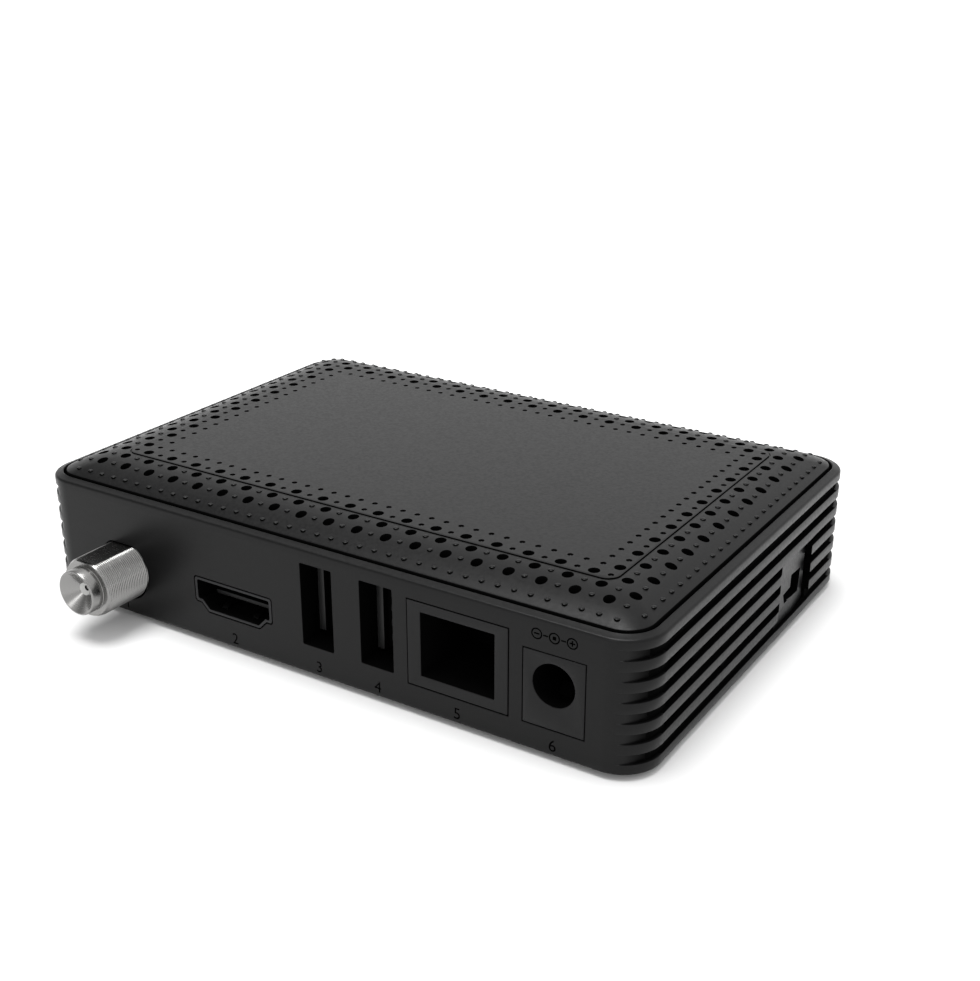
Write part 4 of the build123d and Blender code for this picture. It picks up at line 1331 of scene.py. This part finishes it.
class RECEIVER_OT_cover(bpy.types.Operator):
    """Builds the crowned cover and perforates it with a geometry tree"""

    bl_idname = "receiver.cover"
    bl_label = "Cover"

    def execute(self, context):
        """Builds the piece."""
        size = in_millimetres(context.scene.receiver_cover)
        seat = in_millimetres(context.scene.receiver_housing).seat_height
        inset, crown, panel_inset = size.inset, size.crown_radius, size.panel_inset
        margin_height = COVER_HEIGHT - size.panel_step
        panel_corner, outer_corner = 2.0, 4.15

        def ring(from_side, height):
            """One ring of the cover; its corners tighten towards the panel."""
            part = min(max((panel_inset - from_side) / (panel_inset - inset), 0.0), 1.0)
            width, depth = CASE_WIDTH - 2 * from_side, CASE_DEPTH - 2 * from_side
            radius = panel_corner + (outer_corner - panel_corner) * part
            outline = rounded_rectangle(width, depth, radius, corner_steps=16)
            return [on_level(p.x, p.y, height) for p, _ in outline]

        def crown_height(from_side):
            """Height of the curved margin."""
            run = panel_inset - from_side
            return margin_height - crown + math.sqrt(crown**2 - run**2)

        skirt, under_panel = inset + 1.4, 20.4
        steps, start = 16, inset + 0.35
        margin = [start + (panel_inset - 0.1 - start) * step / steps for step in range(steps + 1)]
        profile = (
            (panel_inset, under_panel),
            (skirt + 2.2, under_panel - 0.3),
            (skirt, under_panel - 1.5),
            (skirt, seat),
            (inset, seat),
            (inset, crown_height(inset) - 0.12),
            (inset + 0.03, crown_height(inset) - 0.03),
            (inset + 0.12, crown_height(inset + 0.12)),
            *((from_side, crown_height(from_side)) for from_side in margin),
            (panel_inset - 0.06, margin_height - 0.1),
            (panel_inset + 0.04, margin_height - 0.1),
            (panel_inset + 0.08, COVER_HEIGHT - 0.02),
            (panel_inset + 0.16, COVER_HEIGHT),
        )
        cover = skin("cover", [ring(*pair) for pair in profile])
        first_ring_x, first_ring_y = 10.9, 11.1
        half_columns, half_rows = 17, 10
        sizes = {
            "Pitch X": (CASE_WIDTH / 2 - first_ring_x) / half_columns,
            "Pitch Y": (CASE_DEPTH / 2 - first_ring_y) / half_rows,
            "Half Columns": half_columns,
            "Half Rows": half_rows,
            "Hole Rings": 3,
            "Centre Y": CASE_CENTRE_Y,
            "Hole Radius": size.hole_radius,
            "Hole Edge": 0.04,
            "Dot Radius": size.dot_radius,
            "Bump Height": size.bump_height,
            "Dimple Depth": size.dimple_depth,
        }
        run_tree(cover, cover_tree(), sizes, "case_plastic")
        finish_piece(cover, "case_plastic", "top_cover")
        # Painted shade: the steep walls of the holes, dimples and bumps get the black finish.
        steepest_lit = 0.78
        darken(cover, lambda middle, out: out.z < steepest_lit)
        return {"FINISHED"}


class RECEIVER_OT_feet(bpy.types.Operator):
    """Builds the four rubber feet with a geometry tree"""

    bl_idname = "receiver.feet"
    bl_label = "Feet"

    def execute(self, context):
        """Builds the piece."""
        radius, top, edge, from_side = 4.0, 1.4, 0.3, 5.9
        profile = (
            (radius - 1.4, 0.1),
            (radius - 1.1, 0.0),
            (radius - edge, 0.0),
            (radius - edge / 3, edge / 3),
            (radius, edge),
            (radius, top),
        )
        feet = skin("feet", [[Vector((*p, up)) for p in circle(0, 0, r)] for r, up in profile])
        sizes = {
            "Spread X": CASE_WIDTH - 2 * from_side,
            "Spread Y": CASE_DEPTH - 2 * from_side,
            "Centre Y": CASE_CENTRE_Y,
            "Height": 0.0,
        }
        run_tree(feet, corner_tree(), sizes, "rubber")
        finish_piece(feet, "rubber", "rubber_feet")
        return {"FINISHED"}


class RECEIVER_OT_aerial(bpy.types.Operator):
    """Builds the threaded aerial connector"""

    bl_idname = "receiver.aerial"
    bl_label = "Aerial connector"

    def execute(self, context):
        """Builds the piece."""
        size = in_millimetres(context.scene.receiver_aerial)
        wall = in_millimetres(context.scene.receiver_housing).wall
        end, flange_back = size.thread_end, -wall - 1.5
        reach = node_box("aerial_body")[1].y - HOUSING_HIGH.y
        bore = 1.0
        nose_profile = (
            (bore, end - 0.2),
            (4.4, end - 0.2),
            (4.63, end),
            (4.5, 7.88),
            (4.42, 7.9),
            (3.66, 7.9),
            (3.6, 7.96),
            (3.6, reach - 0.2),
            (3.54, reach - 0.06),
            (3.42, reach),
            (3.32, reach),
            (3.2, reach - 0.08),
            (bore, reach - 1.75),
        )
        neck_profile = ((bore, flange_back), (4.2, flange_back), (4.2, 0.0), (bore, 0.0))
        nose = turned("nose", nose_profile, AERIAL, hollow=True, flat=size.flat_height)
        neck = turned("neck", neck_profile, AERIAL, hollow=True)
        flange = slab("flange", on_rear, rectangle(*AERIAL, 10.4, 10.4), flange_back, -wall)
        centre = on_rear(*AERIAL)
        sizes = {
            "Radius": size.thread_radius,
            "Start": -0.6,
            "End": end,
            "Pitch": size.thread_pitch,
            "Depth": size.thread_depth,
            "Flat Height": size.flat_height,
            "Centre X": centre.x,
            "Centre Y": centre.y,
            "Centre Z": centre.z,
        }
        connector = joined("aerial_connector", [nose, neck, flange])
        run_tree(connector, thread_tree(), sizes, "nickel")
        finish_piece(connector, "nickel", "aerial_body", smooth_angle=25)

        hole, back = 0.45, -wall - 2.7
        profile = ((bore, back), (bore, reach - 1.75), (hole, reach - 2.2), (hole, back))
        insulator = turned("aerial_insulator_piece", profile, AERIAL, hollow=True)
        finish_piece(insulator, "white_plastic", "aerial_insulator")

        def in_hole(middle, out):
            """Whether a face lies in the hole for the contact."""
            return math.hypot(middle.x - centre.x, middle.z - centre.z) < 1.1 * hole

        # Painted shade in the contact's hole.
        darken(insulator, in_hole)
        return {"FINISHED"}


class RECEIVER_OT_video(bpy.types.Operator):
    """Builds the video socket's folded shell and its tongue"""

    bl_idname = "receiver.video"
    bl_label = "Video socket"

    def execute(self, context):
        """Builds the pieces."""
        right, up = VIDEO
        back = -11.0
        fold = (
            (0.0, back + 0.4),
            (0.0, -0.25),
            (0.03, -0.06),
            (0.08, 0.0),
            (0.4, 0.0),
            (0.46, -0.05),
            (0.48, -0.15),
            (0.48, back),
        )
        rings = [drawn(on_rear, video_outline(grown), out) for grown, out in fold]
        sleeve = skin("video_shell", rings)
        # The shell takes the dark plate finish, and painted shade past its lip.
        finish_piece(sleeve, "tin_plate", "hdmi_shell", finish="dark_plate_and_painted_shade")
        darken_behind(sleeve, 0.15)

        # A spring rises from the mouth's floor and falls back to it.
        path = ((-1.4, 0.02), (-2.0, 0.35), (-2.6, 0.5), (-3.3, 0.4), (-5.2, 0.02))
        floor, width, thickness = up - VIDEO_HALF_HEIGHT, 1.0, 0.14
        springs = []
        for x in (-3.0, 3.0):
            rings = []
            for out, rise in path:
                middle = (right + x, floor + rise + thickness / 2)
                rings.append(drawn(on_rear, rectangle(*middle, width, thickness), out))
            springs.append(skin("video spring", rings))
        # The springs take the dark plate finish, which stands in part for painted shade.
        finish_piece(joined("video_springs", springs), "tin_plate", finish="dark_plate_and_painted_shade")

        # The tongue's lip is thinner than its root.
        half_width, recess, lip_length, root = 5.1, 2.2, 1.0, -10.0
        lip_low, lip_high, root_low = -0.4, 0.2, -0.6
        profile = (
            (root, root_low),
            (-recess - lip_length, root_low),
            (-recess - lip_length, lip_low),
            (-recess, lip_low),
            (-recess, lip_high),
            (root, lip_high),
        )
        sides = (right - half_width, right + half_width)
        rings = [[on_rear(side, up + rise, out) for out, rise in profile] for side in sides]
        tongue = soften(skin("video_tongue", rings), 0.05)
        finish_piece(tongue, "tongue_plastic", "hdmi_tongue", finish="socket_plastic")
        # Painted shade on the tongue past the socket's mouth.
        darken_behind(tongue, recess + 0.1)
        return {"FINISHED"}


class RECEIVER_OT_jacks(bpy.types.Operator):
    """Builds the network, power, side and data sockets' mouldings"""

    bl_idname = "receiver.jacks"
    bl_label = "Other sockets"

    def execute(self, context):
        """Builds the pieces."""
        roundings = {"lan_housing": 0.12, "power_housing": 0.12, "side_housing": 0.1}
        for node, rounding in roundings.items():
            moulding = soften(frame_copy(node, f"{node}_moulding"), rounding)
            finish_piece(moulding, "socket_plastic", node)
            # Painted shade on the moulding's faces behind the socket wall.
            darken_behind(moulding, 0.5)

        # The nose of a data tongue is narrower than its root and sits on the root's plain side.
        recess, root, plain_side, nose_side, contact_side = 3.0, -12.0, -2.02, -0.9, 0.03
        half_height, nose_length = 5.15, 1.2
        profile = (
            (plain_side, root),
            (contact_side, root),
            (contact_side, -recess - nose_length),
            (nose_side, -recess - nose_length),
            (nose_side, -recess),
            (plain_side, -recess),
        )
        for number, (right, up) in enumerate(DATA, start=1):
            levels = (up - half_height, up + half_height)
            rings = [[on_rear(right + x, level, out) for x, out in profile] for level in levels]
            tongue = soften(skin(f"data_tongue_{number}", rings), 0.05)
            finish_piece(tongue, "tongue_plastic", f"usb{number}_tongue")
            # Painted shade on the tongue past the socket's mouth.
            darken_behind(tongue, recess + 0.1)

        profile = ((1.0, -9.5), (1.0, -5.0), (0.9, -4.75), (0.65, -4.62), (0.3, -4.6))
        pin = turned("power_pin_piece", profile, POWER, 48)
        # Painted shade: the pin deep in its socket takes the dark finish.
        finish_piece(pin, "nickel", "power_pin", finish="dark_plate_and_painted_shade")
        return {"FINISHED"}


class RECEIVER_OT_front(bpy.types.Operator):
    """Builds the smoked front window"""

    bl_idname = "receiver.front"
    bl_label = "Front window"

    def execute(self, context):
        """Builds the piece."""
        window = soften(frame_copy("front_window", "front_window_piece"), 0.18, 3)
        finish_piece(window, "smoked_acrylic", "front_window")
        return {"FINISHED"}


class RECEIVER_OT_inside(bpy.types.Operator):
    """Gives the frame's remaining nodes their finishes"""

    bl_idname = "receiver.inside"
    bl_label = "Inner pieces"

    def execute(self, context):
        """Dresses the nodes."""
        slots = {part["node"]: part["material_slot"] for part in frame["record"]["subparts"]}
        for name, node in frame["nodes"].items():
            if node.hide_render or name not in slots:
                continue
            slot = slots[name]
            # Painted shade: contacts take the dark plate, and shells and leaves deep in the sockets
            # take the black shade finish.
            if name.endswith(("_contacts", "_contact")):
                slot = "dark_plate_and_painted_shade"
            elif name.endswith(("_shell", "_leaf")):
                slot = "shade_black"
            node.data.materials.clear()
            node.data.materials.append(finish_for(slot))
        return {"FINISHED"}


# ---------------------------------------------------------------- stage


def add_floor(settings):
    """A wide floor of pale paper."""
    reach = 6.0
    corners = [(*corner, 0.0) for corner in rectangle(0, 0, 2 * reach, 2 * reach)]
    mesh = bpy.data.meshes.new("studio_floor")
    mesh.from_pydata(corners, [], [(0, 1, 2, 3)])
    floor = add_object("studio_floor", mesh)
    paper = new_finish("pale_floor", tuple(settings.floor_colour), 0.9, specular=0.1)
    floor.data.materials.append(paper)


def add_sky(settings):
    """Even light all round, dimmed in a round patch high over the aerial's end."""
    patch_middle = (0.68, 0.2, 0.705)
    patch_edge, patch_core = math.radians(44), math.radians(22)
    world = bpy.data.worlds.new("studio")
    world.use_nodes = True
    tree = world.node_tree
    sky = tree.nodes["Background"]
    sky.inputs["Color"].default_value = (1.0, 1.0, 1.0, 1.0)
    toward = add_node(tree, "ShaderNodeVectorMath", {"operation": "DOT_PRODUCT"})
    feed(toward.inputs[0], tree.nodes.new("ShaderNodeTexCoord").outputs["Generated"])
    feed(toward.inputs[1], patch_middle)
    strength = Value(toward.outputs["Value"]).mapped(
        math.cos(patch_edge),
        math.cos(patch_core),
        settings.sky,
        settings.sky * (1 - settings.dark_side),
        smooth=True,
    )
    feed(sky.inputs["Strength"], strength)
    bpy.context.scene.world = world


def add_lamp(name, power, place, size):
    """A round lamp that faces the receiver from a place seen from its middle."""
    lamp = bpy.data.lights.new(name, "AREA")
    lamp.energy = power
    lamp.shape = "DISK"
    lamp.size = size
    light = add_object(name, lamp)
    light.location = Vector(place) + Vector((0.0, CASE_CENTRE_Y, COVER_HEIGHT / 2)) * MM
    light.rotation_euler = (-Vector(place)).to_track_quat("-Z", "Y").to_euler()


def add_camera(settings):
    """The camera, over the socket wall's aerial end."""
    eye = Vector((-118.572, 171.68, 105.194)) * MM
    heading, looking_down, leaning = 212.125, 22.622, 0.105
    lens = bpy.data.cameras.new("camera")
    lens.lens = settings.focal_length
    lens.sensor_width = 36.0
    lens.clip_start = 0.01
    camera = add_object("camera", lens)
    turn = Matrix.Rotation(math.radians(heading), 4, "Z")
    tilt = Matrix.Rotation(math.radians(90 - looking_down), 4, "X")
    roll = Matrix.Rotation(math.radians(leaning), 4, "Z")
    camera.matrix_world = Matrix.Translation(eye) @ turn @ tilt @ roll
    bpy.context.scene.camera = camera


class RECEIVER_OT_stage(bpy.types.Operator):
    """Builds the floor, the lights and the camera"""

    bl_idname = "receiver.stage"
    bl_label = "Stage"

    def execute(self, context):
        """Builds the stage."""
        settings = context.scene.receiver_stage
        add_floor(settings)
        add_sky(settings)
        context.scene.view_settings.view_transform = "Standard"
        add_lamp("top_light", settings.top, place=(0.39, 0.15, 2.94), size=2.0)
        add_lamp("rear_light", settings.rear, place=(0.15, 2.64, 1.38), size=0.75)
        add_camera(settings)
        return {"FINISHED"}


class RECEIVER_PT_panel(bpy.types.Panel):
    """Lists the receiver's pieces and their settings"""

    bl_label = "Satellite receiver"
    bl_idname = "RECEIVER_PT_panel"
    bl_space_type = "VIEW_3D"
    bl_region_type = "UI"
    bl_category = "Receiver"

    def draw(self, context):
        """Draws a button for each operator and the settings under them."""
        for operator in OPERATORS:
            self.layout.operator(operator.bl_idname)
        for name, group in SETTINGS.items():
            box = self.layout.box()
            for setting in group.__annotations__:
                box.prop(getattr(context.scene, name), setting)


SETTINGS = {
    "receiver_housing": HousingSettings,
    "receiver_cover": CoverSettings,
    "receiver_aerial": AerialSettings,
    "receiver_finish": FinishSettings,
    "receiver_stage": StageSettings,
}
OPERATORS = (
    RECEIVER_OT_housing,
    RECEIVER_OT_cover,
    RECEIVER_OT_feet,
    RECEIVER_OT_aerial,
    RECEIVER_OT_video,
    RECEIVER_OT_jacks,
    RECEIVER_OT_front,
    RECEIVER_OT_inside,
    RECEIVER_OT_stage,
)


def register():
    """Registers the settings, the operators and the panel."""
    for group in SETTINGS.values():
        bpy.utils.register_class(group)
    for operator in OPERATORS:
        bpy.utils.register_class(operator)
    bpy.utils.register_class(RECEIVER_PT_panel)
    for name, group in SETTINGS.items():
        setattr(bpy.types.Scene, name, bpy.props.PointerProperty(type=group))


def unregister():
    """Takes back what register added."""
    for name in SETTINGS:
        delattr(bpy.types.Scene, name)
    bpy.utils.unregister_class(RECEIVER_PT_panel)
    for operator in reversed(OPERATORS):
        bpy.utils.unregister_class(operator)
    for group in reversed(list(SETTINGS.values())):
        bpy.utils.unregister_class(group)


def main():
    """Builds every piece in order."""
    register()
    bpy.ops.receiver.housing()
    bpy.ops.receiver.cover()
    bpy.ops.receiver.feet()
    bpy.ops.receiver.aerial()
    bpy.ops.receiver.video()
    bpy.ops.receiver.jacks()
    bpy.ops.receiver.front()
    bpy.ops.receiver.inside()
    bpy.ops.receiver.stage()


if __name__ == "__main__":
    main()
